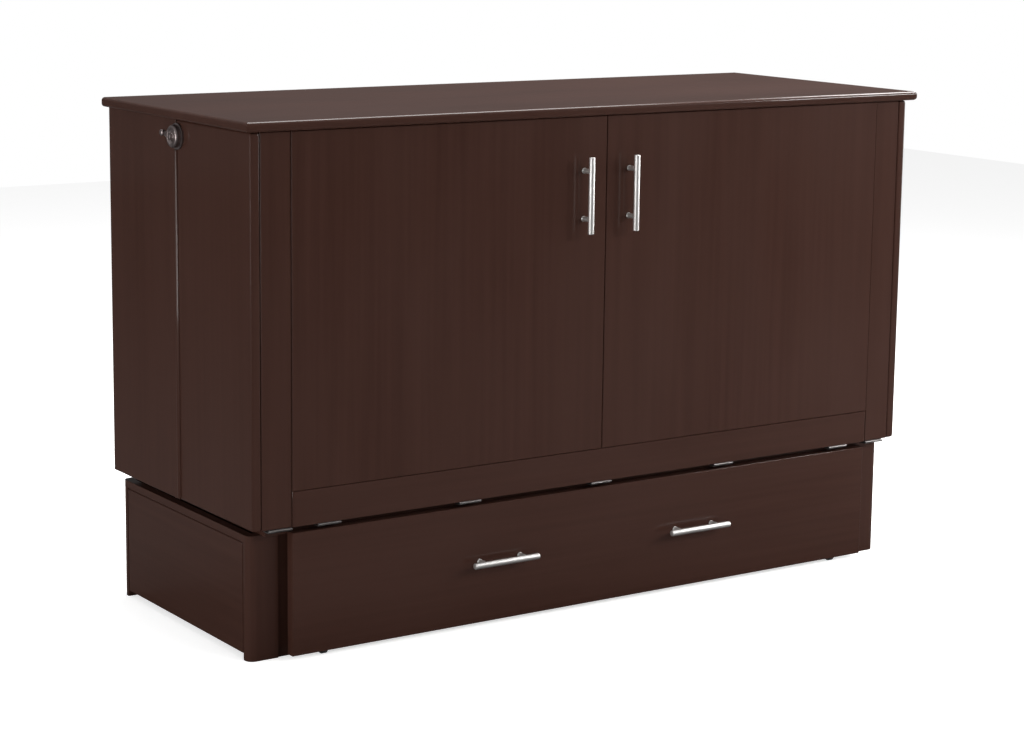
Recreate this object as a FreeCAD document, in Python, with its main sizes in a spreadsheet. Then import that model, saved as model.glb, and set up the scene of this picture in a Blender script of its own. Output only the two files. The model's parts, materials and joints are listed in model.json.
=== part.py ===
import FreeCAD
import Part
import Sketcher
import os
from types import SimpleNamespace
from FreeCAD import Placement, Rotation, Vector

# A chest-style cabinet bed, closed. Lengths are in millimetres.
# x runs to the right from the middle of the cabinet, y runs back from the plane of its front,
# and z runs up from the floor. The whole cabinet is then set with the middle of its box at y = 0.

# ---------------------------------------------------------------- driving sizes

SIZES = [
    # the upper cabinet
    ("body_width", 1600, "width over the side panels"),
    ("body_depth", 600, "depth of the side panels"),
    ("body_height", 747, "height of the side panels"),
    ("board_thickness", 19, "side panels, back and floor"),
    ("front_side_depth", 300, "front half of each side, which tilts with the front"),
    ("tray_gap", 1.5, "running gap over and behind the tilting front"),
    ("floor_setback", 50, "front edge of the cabinet floor behind the front plane"),
    ("floor_side_gap", 1, "cabinet floor to the tilting side panels"),
    # the lid
    ("lid_thickness", 19, "lid panel"),
    ("lid_side_overhang", 16, "lid past each side panel"),
    ("lid_front_overhang", 17, "lid past the front"),
    ("lid_back_gap", 0.5, "lid's back edge in front of the cabinet's back face"),
    ("lid_round", 7, "rounding of the lid's edges"),
    # the base
    ("base_height", 245, "posts and base panels"),
    ("base_side_inset", 11, "base inside the side panels"),
    ("base_front_inset", 37, "posts behind the front plane"),
    ("base_back_inset", 14, "base inside the back face"),
    ("base_lift", 13, "base panels above the floor"),
    ("post_width", 63, "posts, seen from the front"),
    ("post_thickness", 22, "posts, seen from the side"),
    ("post_round", 15, "outer corner of each post"),
    ("return_width", 27, "strip inside each front post that shuts off the gap beside the drawer front"),
    ("return_thickness", 18, "strip inside each front post"),
    ("groove_width", 3, "shadow groove round the base side panel"),
    ("groove_depth", 2.5, "shadow groove round the base side panel"),
    ("groove_drop", 14, "shadow groove below the panel's top edge"),
    ("deck_thickness", 12, "deck between base and cabinet"),
    ("deck_side_inset", 38, "deck inside the side panels"),
    ("deck_front_inset", 24, "deck behind the front plane"),
    ("deck_back_inset", 45, "deck inside the back face"),
    # the tilting front
    ("facing_thickness", 5, "stiles and bottom rail"),
    ("core_thickness", 17, "panel behind the facings"),
    ("stile_width", 65, "stile beside each door"),
    ("bottom_rail_height", 68, "rail below the doors"),
    ("door_proud", 1.5, "doors and bottom rail in front of the stiles"),
    ("door_gap", 1.5, "line between the doors"),
    ("facing_gap", 0.8, "line round the doors, to the stiles and the bottom rail"),
    ("stile_gap", 1.2, "shadow line between each stile and the side panel"),
    ("rail_end_round", 4, "rounding of the bottom rail's ends"),
    ("edge_break", 1, "chamfer of the facings' edges"),
    # hinges of the tilting front
    ("hinge_gap", 6, "deck to the underside of the tilting front"),
    ("hinge_length", 50, "each butt hinge"),
    ("hinge_leaf", 1.5, "leaf thickness"),
    ("hinge_knuckle_radius", 2.6, "knuckle"),
    ("hinge_pin_radius", 1.25, "pin"),
    ("hinge_axis_forward", 1, "pin in front of the front plane"),
    ("hinge_axis_drop", 3, "pin below the underside of the tilting front"),
    ("hinge_end_inset", 58, "outermost hinges inside the side panels"),
    ("hinge_end_gap", 106, "outermost hinge to the next one"),
    ("hinge_deck_reach", 21, "fixed leaf on the deck"),
    ("pin_clearance", 0.05, "turning knuckle round its pin"),
    ("knuckle_gap", 0.3, "between knuckles, and leaf to knuckle"),
    # hinges of the lid
    ("lid_hinge_length", 60, "each lid hinge"),
    ("lid_hinge_leaf", 2, "leaf thickness"),
    ("lid_knuckle_radius", 4.2, "knuckle"),
    ("lid_pin_radius", 2, "pin"),
    ("lid_hinge_drop", 32, "fixed leaf down the back"),
    ("lid_hinge_rise", 12, "moving leaf up the lid's back edge"),
    ("lid_hinge_inset", 170, "outermost lid hinges inside the side panels"),
    # pulls
    ("pull_length", 153, "bar"),
    ("pull_radius", 6, "bar"),
    ("pull_post_radius", 5, "posts of the pull"),
    ("pull_centres", 96, "post to post"),
    ("pull_standoff", 26, "bar's axis from the face"),
    ("door_pull_offset", 55.5, "door pulls from the middle"),
    ("door_pull_drop", 157, "middle of the door pulls below the lid"),
    ("drawer_pull_offset", 244, "drawer pulls from the middle"),
    ("drawer_pull_height", 134.5, "drawer pulls above the floor"),
    ("screw_radius", 2, "screws that hold the pulls"),
    ("screw_clearance", 0.2, "hole round each screw"),
    ("screw_depth", 10, "screw in the pull's post"),
    ("screw_head_radius", 4.5, "screw head"),
    ("screw_head_height", 2.5, "screw head"),
    # side latches and seam strips
    ("latch_drop", 33, "latch below the lid"),
    ("latch_forward", 8, "latch pivot in front of the seam"),
    ("latch_plate_radius", 25.5, "latch plate and keeper"),
    ("latch_plate_thickness", 4, "latch plate and keeper"),
    ("latch_cam_radius", 22, "turning disc"),
    ("latch_cam_thickness", 11, "turning disc"),
    ("latch_clearance", 0.4, "turning disc off the plates"),
    ("latch_pivot_radius", 3, "rivet"),
    ("latch_head_radius", 7, "rivet head"),
    ("latch_head_height", 3, "rivet head"),
    ("lever_reach", 34, "lever knob from the pivot"),
    ("lever_rise", 5, "lever arm above the pivot"),
    ("lever_width", 14, "lever arm"),
    ("lever_thickness", 5, "lever arm"),
    ("lever_knob_radius", 6.5, "lever knob"),
    ("lever_knob_outward", 5, "lever knob past the lever arm"),
    ("strip_width", 13, "half-round seam strip"),
    ("strip_thickness", 4.5, "half-round seam strip"),
    ("strip_clearance", 0.4, "seam strip's lip off the tilting side"),
    ("strip_bottom_gap", 5, "seam strip above the cabinet's bottom edge"),
    # fold-out foot deck
    ("foot_deck_thickness", 18, "foot deck, folded flat behind the front"),
    ("foot_deck_foot_gap", 37, "folded foot deck above the front's bottom edge"),
    ("foot_deck_side_gap", 12, "foot deck to the side panels"),
    ("foot_deck_top_gap", 8.5, "foot deck below the front's top edge"),
    ("foot_deck_seat", 0.5, "foot deck behind the core panel"),
    ("foot_hinge_length", 70, "hinges of the foot deck"),
    ("foot_hinge_leaf", 1.5, "leaf thickness"),
    ("foot_knuckle_radius", 2.8, "knuckle"),
    ("foot_hinge_pitch", 600, "spacing of the foot deck hinges"),
    ("leg_width", 40, "folding leg"),
    ("leg_thickness", 26, "folding leg"),
    ("leg_length", 255, "folding leg"),
    ("leg_side_inset", 60, "folding leg from the foot deck's end"),
    ("leg_plate", 2, "leg bracket"),
    ("leg_bracket_height", 42, "leg bracket"),
    # mattress, folded in three
    ("mattress_side_room", 19, "hand room between the mattress and each side panel"),
    ("mattress_front_room", 26.5, "mattress behind the folding legs"),
    ("mattress_back_room", 29.2, "mattress to the back board"),
    ("mattress_top_room", 56.6, "mattress below the lid"),
    ("mattress_clearance", 0.4, "between the sections and off the floor"),
    ("mattress_crown", 9, "swell of the broad faces"),
    ("mattress_side_draw", 14, "sides drawn in towards their ends"),
    # the drawer
    ("drawer_top_gap", 7, "drawer front below the deck's top face"),
    ("drawer_floor_gap", 9, "drawer front above the floor"),
    ("drawer_front_thickness", 20, "drawer front"),
    ("drawer_front_setback", 2, "drawer front behind the front plane"),
    ("drawer_front_inset", 86, "drawer front's ends inside the side panels"),
    ("drawer_front_round", 1.5, "edges of the drawer front"),
    ("drawer_side_thickness", 12, "drawer box"),
    ("drawer_side_gap", 32, "drawer box inside the posts"),
    ("drawer_box_lift", 30, "drawer box above the floor"),
    ("drawer_box_top_gap", 30, "drawer box below the deck"),
    ("drawer_back_gap", 27, "drawer box to the back of the base"),
    ("drawer_bottom_thickness", 6, "drawer bottom"),
    ("guide_clearance", 0.5, "drawer side to its guide"),
    ("guide_thickness", 20, "guide board"),
    ("guide_height", 90, "guide board above the floor"),
    # casters under the drawer
    ("wheel_radius", 11, "caster wheel"),
    ("wheel_width", 11, "caster wheel"),
    ("wheel_clearance", 1.5, "wheel to each ear"),
    ("axle_radius", 2, "caster axle"),
    ("axle_clearance", 0.05, "wheel round its axle"),
    ("caster_plate", 2, "caster plate and ears"),
    ("axle_edge", 5, "metal of the ears round the axle"),
    ("caster_side_inset", 54, "casters inside the drawer box"),
    ("caster_front_reach", 4, "front axles inside the back face of the drawer front"),
    ("caster_back_inset", 40, "back axles inside the drawer box"),
    ("caster_length", 30, "caster plate"),
    ("pocket_clearance", 2, "wheel pocket in the drawer front"),
]

doc = FreeCAD.newDocument("cabinet_bed")
sheet = doc.addObject("Spreadsheet::Sheet", "Sizes")
for row, (alias, value, meaning) in enumerate(SIZES, start=1):
    sheet.set(f"A{row}", meaning)
    sheet.set(f"B{row}", str(value))
    sheet.setAlias(f"B{row}", alias)
doc.recompute()

# S.name is the text that stands for one cell in an expression.
S = SimpleNamespace(**{alias: f"Sizes.{alias}" for alias, _, _ in SIZES})

# Places that several pieces share, as expressions of the cells.
Y_FRONT = (
    f"(({S.door_proud} + {S.pull_standoff} + {S.pull_radius}"
    f" - {S.body_depth} - 2 * {S.lid_knuckle_radius}) / 2)"
)
Z_FLOOR = f"({S.base_height} + {S.deck_thickness})"
Z_BODY = f"({Z_FLOOR} + {S.hinge_gap})"
Z_LID = f"({Z_BODY} + {S.body_height})"
Z_TRAY_TOP = f"({Z_LID} - {S.tray_gap})"
Z_FLOOR_TOP = f"({Z_FLOOR} + {S.board_thickness})"
HALF_WIDTH = f"({S.body_width} / 2)"
INNER_HALF = f"({HALF_WIDTH} - {S.board_thickness})"
BASE_HALF = f"({HALF_WIDTH} - {S.base_side_inset})"
POST_HALF = f"({BASE_HALF} - {S.post_width})"
BASE_BACK = f"({S.body_depth} - {S.base_back_inset})"
BOX_HALF = f"({POST_HALF} - {S.drawer_side_gap})"
CORE_FRONT = S.facing_thickness
CORE_BACK = f"({S.facing_thickness} + {S.core_thickness})"
FOOT_DECK_BACK = f"({CORE_BACK} + {S.foot_deck_seat} + {S.foot_deck_thickness})"
LEG_BACK = f"({FOOT_DECK_BACK} + {S.leg_plate} + {S.leg_thickness})"
DRAWER_FACE = S.drawer_front_setback
DRAWER_BACK = f"({S.drawer_front_setback} + {S.drawer_front_thickness})"
BOX_BACK = f"({BASE_BACK} - {S.board_thickness} - {S.drawer_back_gap})"
CASTER_X = f"({BOX_HALF} - {S.caster_side_inset})"
CASTER_FRONT = f"({DRAWER_BACK} - {S.caster_front_reach})"
CASTER_BACK = f"({BOX_BACK} - {S.caster_back_inset})"

LID_HINGES = 4

nodes = []


# ---------------------------------------------------------------- helpers

def put(feature, x, y, z):
    """Stands a feature at x from the middle, y behind the front plane and z above the floor."""
    feature.setExpression("Placement.Base.x", f"{x}")
    feature.setExpression("Placement.Base.y", f"{Y_FRONT} + {y}")
    feature.setExpression("Placement.Base.z", f"{z}")
    return feature


def span(side, inner, outer):
    """The low and high x of something that runs from inner to outer on one side."""
    if side == "left":
        return f"-({outer})", f"-({inner})"
    return f"({inner})", f"({outer})"


def at(side, distance):
    """The x that lies a distance from the middle on one side."""
    return f"-({distance})" if side == "left" else f"({distance})"


def block(label, x, y, z):
    """A square-edged piece between two corners: x, y and z are each a low and a high end."""
    solid = doc.addObject("Part::Box", label)
    for length, (low, high) in zip(("Length", "Width", "Height"), (x, y, z)):
        solid.setExpression(length, f"({high}) - ({low})")
    return put(solid, x[0], y[0], z[0])


SAME = 1e-4  # two levels closer than this are one
TURNS = {"x": Rotation(Vector(0, 1, 0), 90), "y": Rotation(Vector(1, 0, 0), -90), "z": Rotation()}


def rod(label, axis, start, length, radius):
    """A round piece that runs from its start along an axis."""
    solid = doc.addObject("Part::Cylinder", label)
    solid.setExpression("Radius", f"{radius}")
    solid.setExpression("Height", f"{length}")
    solid.Placement = Placement(Vector(), TURNS[axis])
    return put(solid, *start)


def fuse(label, *pieces):
    solid = doc.addObject("Part::MultiFuse", label)
    solid.Shapes = list(pieces)
    return solid


def cut(label, base, *tools):
    solid = doc.addObject("Part::Cut", label)
    solid.Base = base
    solid.Tool = tools[0] if len(tools) == 1 else fuse(f"{label}_tools", *tools)
    return solid


def common(label, base, tool):
    solid = doc.addObject("Part::Common", label)
    solid.Base = base
    solid.Tool = tool
    return solid


def group(label, pieces):
    """Alike pieces that share one node, each still a solid of its own."""
    together = doc.addObject("Part::Compound", label)
    together.Links = pieces
    return together


FACES = {
    "left": "XMin", "right": "XMax",
    "front": "YMin", "back": "YMax",
    "bottom": "ZMin", "top": "ZMax",
}


def edges_between(shape, pairs):
    """Names of the edges where two faces of a board meet, such as front and top."""
    names = []
    for number, edge in enumerate(shape.Edges, start=1):
        for pair in pairs:
            if all(lies_on(edge, shape, FACES[face]) for face in pair.split()):
                names.append(f"Edge{number}")
    return names


def lies_on(edge, shape, face):
    """Whether an edge lies in the outermost plane of a board, such as ZMax."""
    level = getattr(shape.BoundBox, face)
    ends = [getattr(edge.BoundBox, face[0] + end) for end in ("Min", "Max")]
    return max(abs(end - level) for end in ends) < SAME


def board(label, x, y, z, pairs, dressing, size):
    """A board with worked edges: a sketched rectangle, padded, then a fillet or a chamfer."""
    body = doc.addObject("PartDesign::Body", label)
    sketch = body.newObject("Sketcher::SketchObject", f"{label}_outline")
    plane = [feature for feature in body.Origin.OriginFeatures if feature.Role == "XY_Plane"][0]
    sketch.AttachmentSupport = (plane, [""])
    sketch.MapMode = "FlatFace"
    across, along = 100, 50  # any rectangle: its two lengths follow the cells below
    corners = [Vector(0, 0, 0), Vector(across, 0, 0), Vector(across, along, 0), Vector(0, along, 0)]
    for number in range(4):
        sketch.addGeometry(Part.LineSegment(corners[number], corners[(number + 1) % 4]))
    for number in range(4):
        sketch.addConstraint(Sketcher.Constraint("Coincident", number, 2, (number + 1) % 4, 1))
        sketch.addConstraint(Sketcher.Constraint("Vertical" if number % 2 else "Horizontal", number))
    sketch.addConstraint(Sketcher.Constraint("Coincident", 0, 1, -1, 1))
    lengths = (("across", "DistanceX", 0, across, x), ("along", "DistanceY", 1, along, y))
    for name, kind, line, drawn, (low, high) in lengths:
        number = sketch.addConstraint(Sketcher.Constraint(kind, line, 1, line, 2, drawn))
        sketch.renameConstraint(number, name)
        sketch.setExpression(f"Constraints.{name}", f"({high}) - ({low})")
    pad = body.newObject("PartDesign::Pad", f"{label}_pad")
    pad.Profile = sketch
    pad.setExpression("Length", f"({z[1]}) - ({z[0]})")
    doc.recompute()
    dressed = body.newObject(f"PartDesign::{dressing}", f"{label}_edges")
    dressed.Base = (pad, edges_between(pad.Shape, pairs))
    dressed.setExpression("Radius" if dressing == "Fillet" else "Size", size)
    return put(body, x[0], y[0], z[0])


def keep(piece):
    """Marks a finished piece as a node."""
    nodes.append(piece)
    return piece


# ---------------------------------------------------------------- base

def make_base():
    """Four posts, side and back panels between them, and the deck that carries the cabinet."""
    base_back_post = f"({BASE_BACK} - {S.post_thickness})"
    base_front_post = f"({S.base_front_inset} + {S.post_thickness})"
    for side in ("left", "right"):
        across = span(side, POST_HALF, BASE_HALF)
        post = board(f"base_front_post_{side}_board", across, (S.base_front_inset, base_front_post),
                     ("0", S.base_height), (f"front {side}",), "Fillet", S.post_round)
        strip = block(f"post_return_{side}", span(side, f"{POST_HALF} - {S.return_width}", POST_HALF),
                      (f"{base_front_post} - {S.return_thickness}", base_front_post), ("0", S.base_height))
        keep(fuse(f"base_front_post_{side}", post, strip))
        keep(board(f"base_rear_post_{side}", across, (base_back_post, BASE_BACK),
                   ("0", S.base_height), (f"back {side}",), "Fillet", S.post_round))
        keep(base_side(side, base_front_post, base_back_post))
    keep(block("base_back", (f"-{POST_HALF}", POST_HALF),
               (f"{BASE_BACK} - {S.board_thickness}", BASE_BACK), (S.base_lift, S.base_height)))
    deck_half = f"({HALF_WIDTH} - {S.deck_side_inset})"
    keep(block("base_deck", (f"-{deck_half}", deck_half),
               (S.deck_front_inset, f"{S.body_depth} - {S.deck_back_inset}"), (S.base_height, Z_FLOOR)))
    guides = []
    for side in ("left", "right"):
        across = span(side, f"{BOX_HALF} + {S.guide_clearance}", f"{BASE_HALF} - {S.board_thickness}")
        guides.append(block(f"guide_{side}", across, (base_front_post, base_back_post),
                            (f"{S.guide_height} - {S.guide_thickness}", S.guide_height)))
    keep(group("drawer_guides", guides))


def base_side(side, front, back):
    """A side panel of the base with a shadow groove along its ends and below its top edge."""
    across = span(side, f"{BASE_HALF} - {S.board_thickness}", BASE_HALF)
    panel = block(f"base_side_{side}_panel", across, (front, back), (S.base_lift, S.base_height))
    groove = span(side, f"{BASE_HALF} - {S.groove_depth}", f"{BASE_HALF} + {S.groove_depth}")
    groove_top = f"({S.base_height} - {S.groove_drop})"
    tools = [
        block(f"base_side_{side}_groove_front", groove, (front, f"{front} + {S.groove_width}"),
              ("0", groove_top)),
        block(f"base_side_{side}_groove_back", groove, (f"{back} - {S.groove_width}", back),
              ("0", groove_top)),
        block(f"base_side_{side}_groove_top", groove, (front, back),
              (f"{groove_top} - {S.groove_width}", groove_top)),
    ]
    return cut(f"base_side_{side}", panel, *tools)


# ---------------------------------------------------------------- fixed half of the cabinet

def make_cabinet():
    """Floor, back, the rear halves of the sides and the strips that cover the side seams."""
    behind_seam = f"({S.front_side_depth} + {S.tray_gap} / 2)"
    inside_back = f"({S.body_depth} - {S.board_thickness})"
    narrow = f"({INNER_HALF} - {S.floor_side_gap})"
    keep(fuse(
        "cabinet_floor",
        block("floor_rear", (f"-{INNER_HALF}", INNER_HALF), (behind_seam, inside_back),
              (Z_FLOOR, Z_FLOOR_TOP)),
        block("floor_front", (f"-{narrow}", narrow), (S.floor_setback, behind_seam),
              (Z_FLOOR, Z_FLOOR_TOP)),
    ))
    keep(block("cabinet_back", (f"-{INNER_HALF}", INNER_HALF), (inside_back, S.body_depth),
               (Z_BODY, Z_LID)))
    for side in ("left", "right"):
        across = span(side, INNER_HALF, HALF_WIDTH)
        keep(block(f"rear_side_{side}", across, (behind_seam, S.body_depth), (Z_BODY, Z_LID)))
        keep(seam_strip(side, behind_seam))


def seam_strip(side, behind_seam):
    """A half-round strip fixed behind the seam, with a lip that stands just off the tilting side."""
    middle = S.front_side_depth
    outer = f"({HALF_WIDTH} + {S.strip_thickness})"
    low = f"({Z_BODY} + {S.strip_bottom_gap})"
    high = f"({Z_LID} - {S.latch_drop} - {S.latch_plate_radius} - {S.tray_gap})"
    root = block(f"seam_strip_{side}_root", span(side, HALF_WIDTH, outer),
                 (behind_seam, f"{middle} + {S.strip_width} / 2"), (low, high))
    lip = block(f"seam_strip_{side}_lip", span(side, f"{HALF_WIDTH} + {S.strip_clearance}", outer),
                (f"{middle} - {S.strip_width} / 2", behind_seam), (low, high))
    radius = f"(({S.strip_width}^2 / 4 + {S.strip_thickness}^2) / (2 * {S.strip_thickness}))"
    crown = rod(f"seam_strip_{side}_crown", "z", (at(side, f"{outer} - {radius}"), middle, low),
                f"{high} - {low}", radius)
    return common(f"seam_strip_{side}", fuse(f"seam_strip_{side}_blank", root, lip), crown)


# ---------------------------------------------------------------- lid

def make_lid():
    """The lid with its rounded edges, and the butt hinges on the cabinet's back face."""
    half = f"({HALF_WIDTH} + {S.lid_side_overhang})"
    worked = [f"{edge} {face}" for edge in ("front", "left", "right") for face in ("top", "bottom")]
    keep(board("lid_panel", (f"-{half}", half),
               (f"-{S.lid_front_overhang}", f"{S.body_depth} - {S.lid_back_gap}"),
               (Z_LID, f"{Z_LID} + {S.lid_thickness}"), worked, "Fillet", S.lid_round))
    fixed, moving, pins = [], [], []
    outermost = f"({HALF_WIDTH} - {S.lid_hinge_inset})"
    for number in range(LID_HINGES):
        hinge = lid_hinge(number + 1, f"({outermost} * {2 * number - LID_HINGES + 1} / {LID_HINGES - 1})")
        fixed.append(hinge[0])
        moving.append(hinge[1])
        pins.append(hinge[2])
    keep(group("lid_hinge_fixed_leaves", fixed))
    keep(group("lid_hinge_moving_leaves", moving))
    keep(group("lid_hinge_pins", pins))


def lid_hinge(number, middle):
    """One butt hinge: a leaf on the back, a leaf on the lid's back edge, three knuckles and a pin."""
    name = f"lid_hinge_{number}"
    third = f"({S.lid_hinge_length} / 3)"
    low = f"({middle} - {S.lid_hinge_length} / 2)"
    high = f"({middle} + {S.lid_hinge_length} / 2)"
    axis_y = f"({S.body_depth} + {S.lid_knuckle_radius})"
    clear = f"({S.lid_knuckle_radius} + 2 * {S.knuckle_gap})"
    leaf_y = (S.body_depth, f"{S.body_depth} + {S.lid_hinge_leaf}")
    lid_back = f"({S.body_depth} - {S.lid_back_gap})"
    lid_y = (lid_back, f"{lid_back} + {S.lid_hinge_leaf}")
    fixed = [block(f"{name}_plate", (low, high), leaf_y,
                   (f"{Z_LID} - {clear} - {S.lid_hinge_drop}", f"{Z_LID} - {clear}"))]
    for end, start in (("a", low), ("b", f"({high} - {third} + {S.knuckle_gap})")):
        length = f"({third} - {S.knuckle_gap})"
        fixed.append(rod(f"{name}_knuckle_{end}", "x", (start, axis_y, Z_LID), length,
                         S.lid_knuckle_radius))
        fixed.append(block(f"{name}_web_{end}", (start, f"{start} + {length}"), leaf_y,
                           (f"{Z_LID} - {clear}", Z_LID)))
    moving = [
        block(f"{name}_lid_plate", (low, high), lid_y,
              (f"{Z_LID} + {clear}", f"{Z_LID} + {clear} + {S.lid_hinge_rise}")),
        block(f"{name}_lid_web", (f"{low} + {third}", f"{high} - {third}"), lid_y,
              (Z_LID, f"{Z_LID} + {clear}")),
        rod(f"{name}_lid_knuckle", "x", (f"{low} + {third}", axis_y, Z_LID), third, S.lid_knuckle_radius),
    ]
    pin = rod(f"{name}_pin", "x", (low, axis_y, Z_LID), S.lid_hinge_length, S.lid_pin_radius)
    tight = rod(f"{name}_bore", "x", (low, axis_y, Z_LID), S.lid_hinge_length, S.lid_pin_radius)
    loose = rod(f"{name}_lid_bore", "x", (low, axis_y, Z_LID), S.lid_hinge_length,
                f"{S.lid_pin_radius} + {S.pin_clearance}")
    return (cut(f"{name}_fixed_leaf", fuse(f"{name}_fixed", *fixed), tight),
            cut(f"{name}_moving_leaf", fuse(f"{name}_moving", *moving), loose), pin)


# ---------------------------------------------------------------- tilting front

def make_front():
    """The front panel with its two false doors, and the front halves of the sides."""
    rail_top = f"({Z_BODY} + {S.bottom_rail_height})"
    stile_inner = f"({INNER_HALF} - {S.stile_width})"
    half_gap = f"{S.facing_gap} / 2"
    front_edges = [f"front {face}" for face in ("left", "right", "top", "bottom")]
    panel = block("front_panel_board", (f"-{INNER_HALF}", INNER_HALF), (CORE_FRONT, CORE_BACK),
                  (Z_BODY, Z_TRAY_TOP))
    holes = []
    for side in ("left", "right"):
        x = at(side, S.door_pull_offset)
        holes += pull_holes(f"front_panel_{side}", "z", x, DOOR_PULL_Z, CORE_FRONT, CORE_BACK)
    keep(cut("front_panel", panel, *holes))
    for side in ("left", "right"):
        across = span(side, f"{stile_inner} + {half_gap}", f"{INNER_HALF} - {S.stile_gap}")
        keep(board(f"stile_{side}", across, ("0", S.facing_thickness), (Z_BODY, Z_TRAY_TOP),
                   front_edges, "Chamfer", S.edge_break))
        door = board(f"door_{side}_board", span(side, f"{S.door_gap} / 2", f"{stile_inner} - {half_gap}"),
                     (f"-{S.door_proud}", S.facing_thickness), (f"{rail_top} + {half_gap}", Z_TRAY_TOP),
                     front_edges, "Chamfer", S.edge_break)
        x = at(side, S.door_pull_offset)
        shanks = pull_holes(f"door_{side}", "z", x, DOOR_PULL_Z, f"-{S.door_proud}", S.facing_thickness)
        keep(cut(f"door_{side}", door, *shanks[:2]))
        keep(block(f"front_side_{side}", span(side, INNER_HALF, HALF_WIDTH),
                   ("0", f"{S.front_side_depth} - {S.tray_gap} / 2"), (Z_BODY, Z_TRAY_TOP)))
    keep(board("bottom_rail", (f"-{stile_inner} + {half_gap}", f"{stile_inner} - {half_gap}"),
               (f"-{S.door_proud}", S.facing_thickness), (Z_BODY, f"{rail_top} - {half_gap}"),
               ["front left", "front right"], "Fillet", S.rail_end_round))


def make_front_hinges():
    """Seven butt hinges under the front: five evenly spaced, and one at each end."""
    end = f"({HALF_WIDTH} - {S.hinge_end_inset})"
    middles = [f"(({end} - {S.hinge_end_gap}) * {step} / 2)" for step in (-2, -1, 0, 1, 2)]
    middles += [at(side, end) for side in ("left", "right")]
    fixed, moving, pins = [], [], []
    for number, middle in enumerate(middles, start=1):
        hinge = front_hinge(number, middle)
        fixed.append(hinge[0])
        moving.append(hinge[1])
        pins.append(hinge[2])
    keep(group("front_hinge_fixed_leaves", fixed))
    keep(group("front_hinge_moving_leaves", moving))
    keep(group("front_hinge_pins", pins))


def front_hinge(number, middle):
    """One butt hinge: a leaf on the deck, a leaf under the front, three knuckles and a pin."""
    name = f"front_hinge_{number}"
    third = f"({S.hinge_length} / 3)"
    low = f"({middle} - {S.hinge_length} / 2)"
    high = f"({middle} + {S.hinge_length} / 2)"
    axis_y = f"(-{S.hinge_axis_forward})"
    axis_z = f"({Z_BODY} - {S.hinge_axis_drop})"
    leaf_start = f"({axis_y} + {S.hinge_knuckle_radius} + {S.knuckle_gap})"
    lower = (Z_FLOOR, f"{Z_FLOOR} + {S.hinge_leaf}")
    upper = (f"{Z_BODY} - {S.hinge_leaf}", Z_BODY)
    fixed = [block(f"{name}_plate", (low, high),
                   (leaf_start, f"{S.deck_front_inset} + {S.hinge_deck_reach}"), lower)]
    for end, start in (("a", low), ("b", f"({high} - {third} + {S.knuckle_gap})")):
        length = f"({third} - {S.knuckle_gap})"
        fixed.append(rod(f"{name}_knuckle_{end}", "x", (start, axis_y, axis_z), length,
                         S.hinge_knuckle_radius))
        fixed.append(block(f"{name}_web_{end}", (start, f"{start} + {length}"),
                           (axis_y, leaf_start), lower))
    moving = [
        block(f"{name}_front_plate", (low, high), (leaf_start, CORE_BACK), upper),
        block(f"{name}_front_web", (f"{low} + {third}", f"{high} - {third}"), (axis_y, leaf_start), upper),
        rod(f"{name}_front_knuckle", "x", (f"{low} + {third}", axis_y, axis_z), third,
            S.hinge_knuckle_radius),
    ]
    pin = rod(f"{name}_pin", "x", (low, axis_y, axis_z), S.hinge_length, S.hinge_pin_radius)
    tight = rod(f"{name}_bore", "x", (low, axis_y, axis_z), S.hinge_length, S.hinge_pin_radius)
    loose = rod(f"{name}_front_bore", "x", (low, axis_y, axis_z), S.hinge_length,
                f"{S.hinge_pin_radius} + {S.pin_clearance}")
    return (cut(f"{name}_fixed_leaf", fuse(f"{name}_fixed", *fixed), tight),
            cut(f"{name}_moving_leaf", fuse(f"{name}_moving", *moving), loose), pin)


# ---------------------------------------------------------------- pulls

DOOR_PULL_Z = f"({Z_LID} - {S.door_pull_drop})"


def along_bar(axis, x, z, offset):
    """The x and z of a point on a pull's bar, an offset from its middle."""
    if axis == "x":
        return f"({x} + {offset})", z
    return x, f"({z} + {offset})"


def pull(label, axis, x, z, face):
    """A bar pull: a round bar on two posts, with a threaded hole in the foot of each post."""
    bar_y = f"({face} - {S.pull_standoff})"
    start = along_bar(axis, x, z, f"(-{S.pull_length} / 2)")
    bar = rod(f"{label}_bar", axis, (start[0], bar_y, start[1]), S.pull_length, S.pull_radius)
    posts, holes = [], []
    for end, way in (("a", "-"), ("b", "")):
        spot = along_bar(axis, x, z, f"({way}{S.pull_centres} / 2)")
        posts.append(rod(f"{label}_post_{end}", "y", (spot[0], bar_y, spot[1]), S.pull_standoff,
                         S.pull_post_radius))
        holes.append(rod(f"{label}_hole_{end}", "y", (spot[0], f"{face} - {S.screw_depth}", spot[1]),
                         S.screw_depth, S.screw_radius))
    return cut(label, fuse(f"{label}_blank", bar, *posts), *holes)


def pull_holes(label, axis, x, z, front, back):
    """Two screw holes through a board, then two sinkings for the heads at its back."""
    shanks, heads = [], []
    for end, way in (("a", "-"), ("b", "")):
        spot = along_bar(axis, x, z, f"({way}{S.pull_centres} / 2)")
        shanks.append(rod(f"{label}_shank_{end}", "y", (spot[0], front, spot[1]), f"({back}) - ({front})",
                          f"{S.screw_radius} + {S.screw_clearance}"))
        heads.append(rod(f"{label}_head_{end}", "y", (spot[0], f"{back} - {S.screw_head_height}", spot[1]),
                         S.screw_head_height, f"{S.screw_head_radius} + {S.screw_clearance}"))
    return shanks + heads


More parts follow.
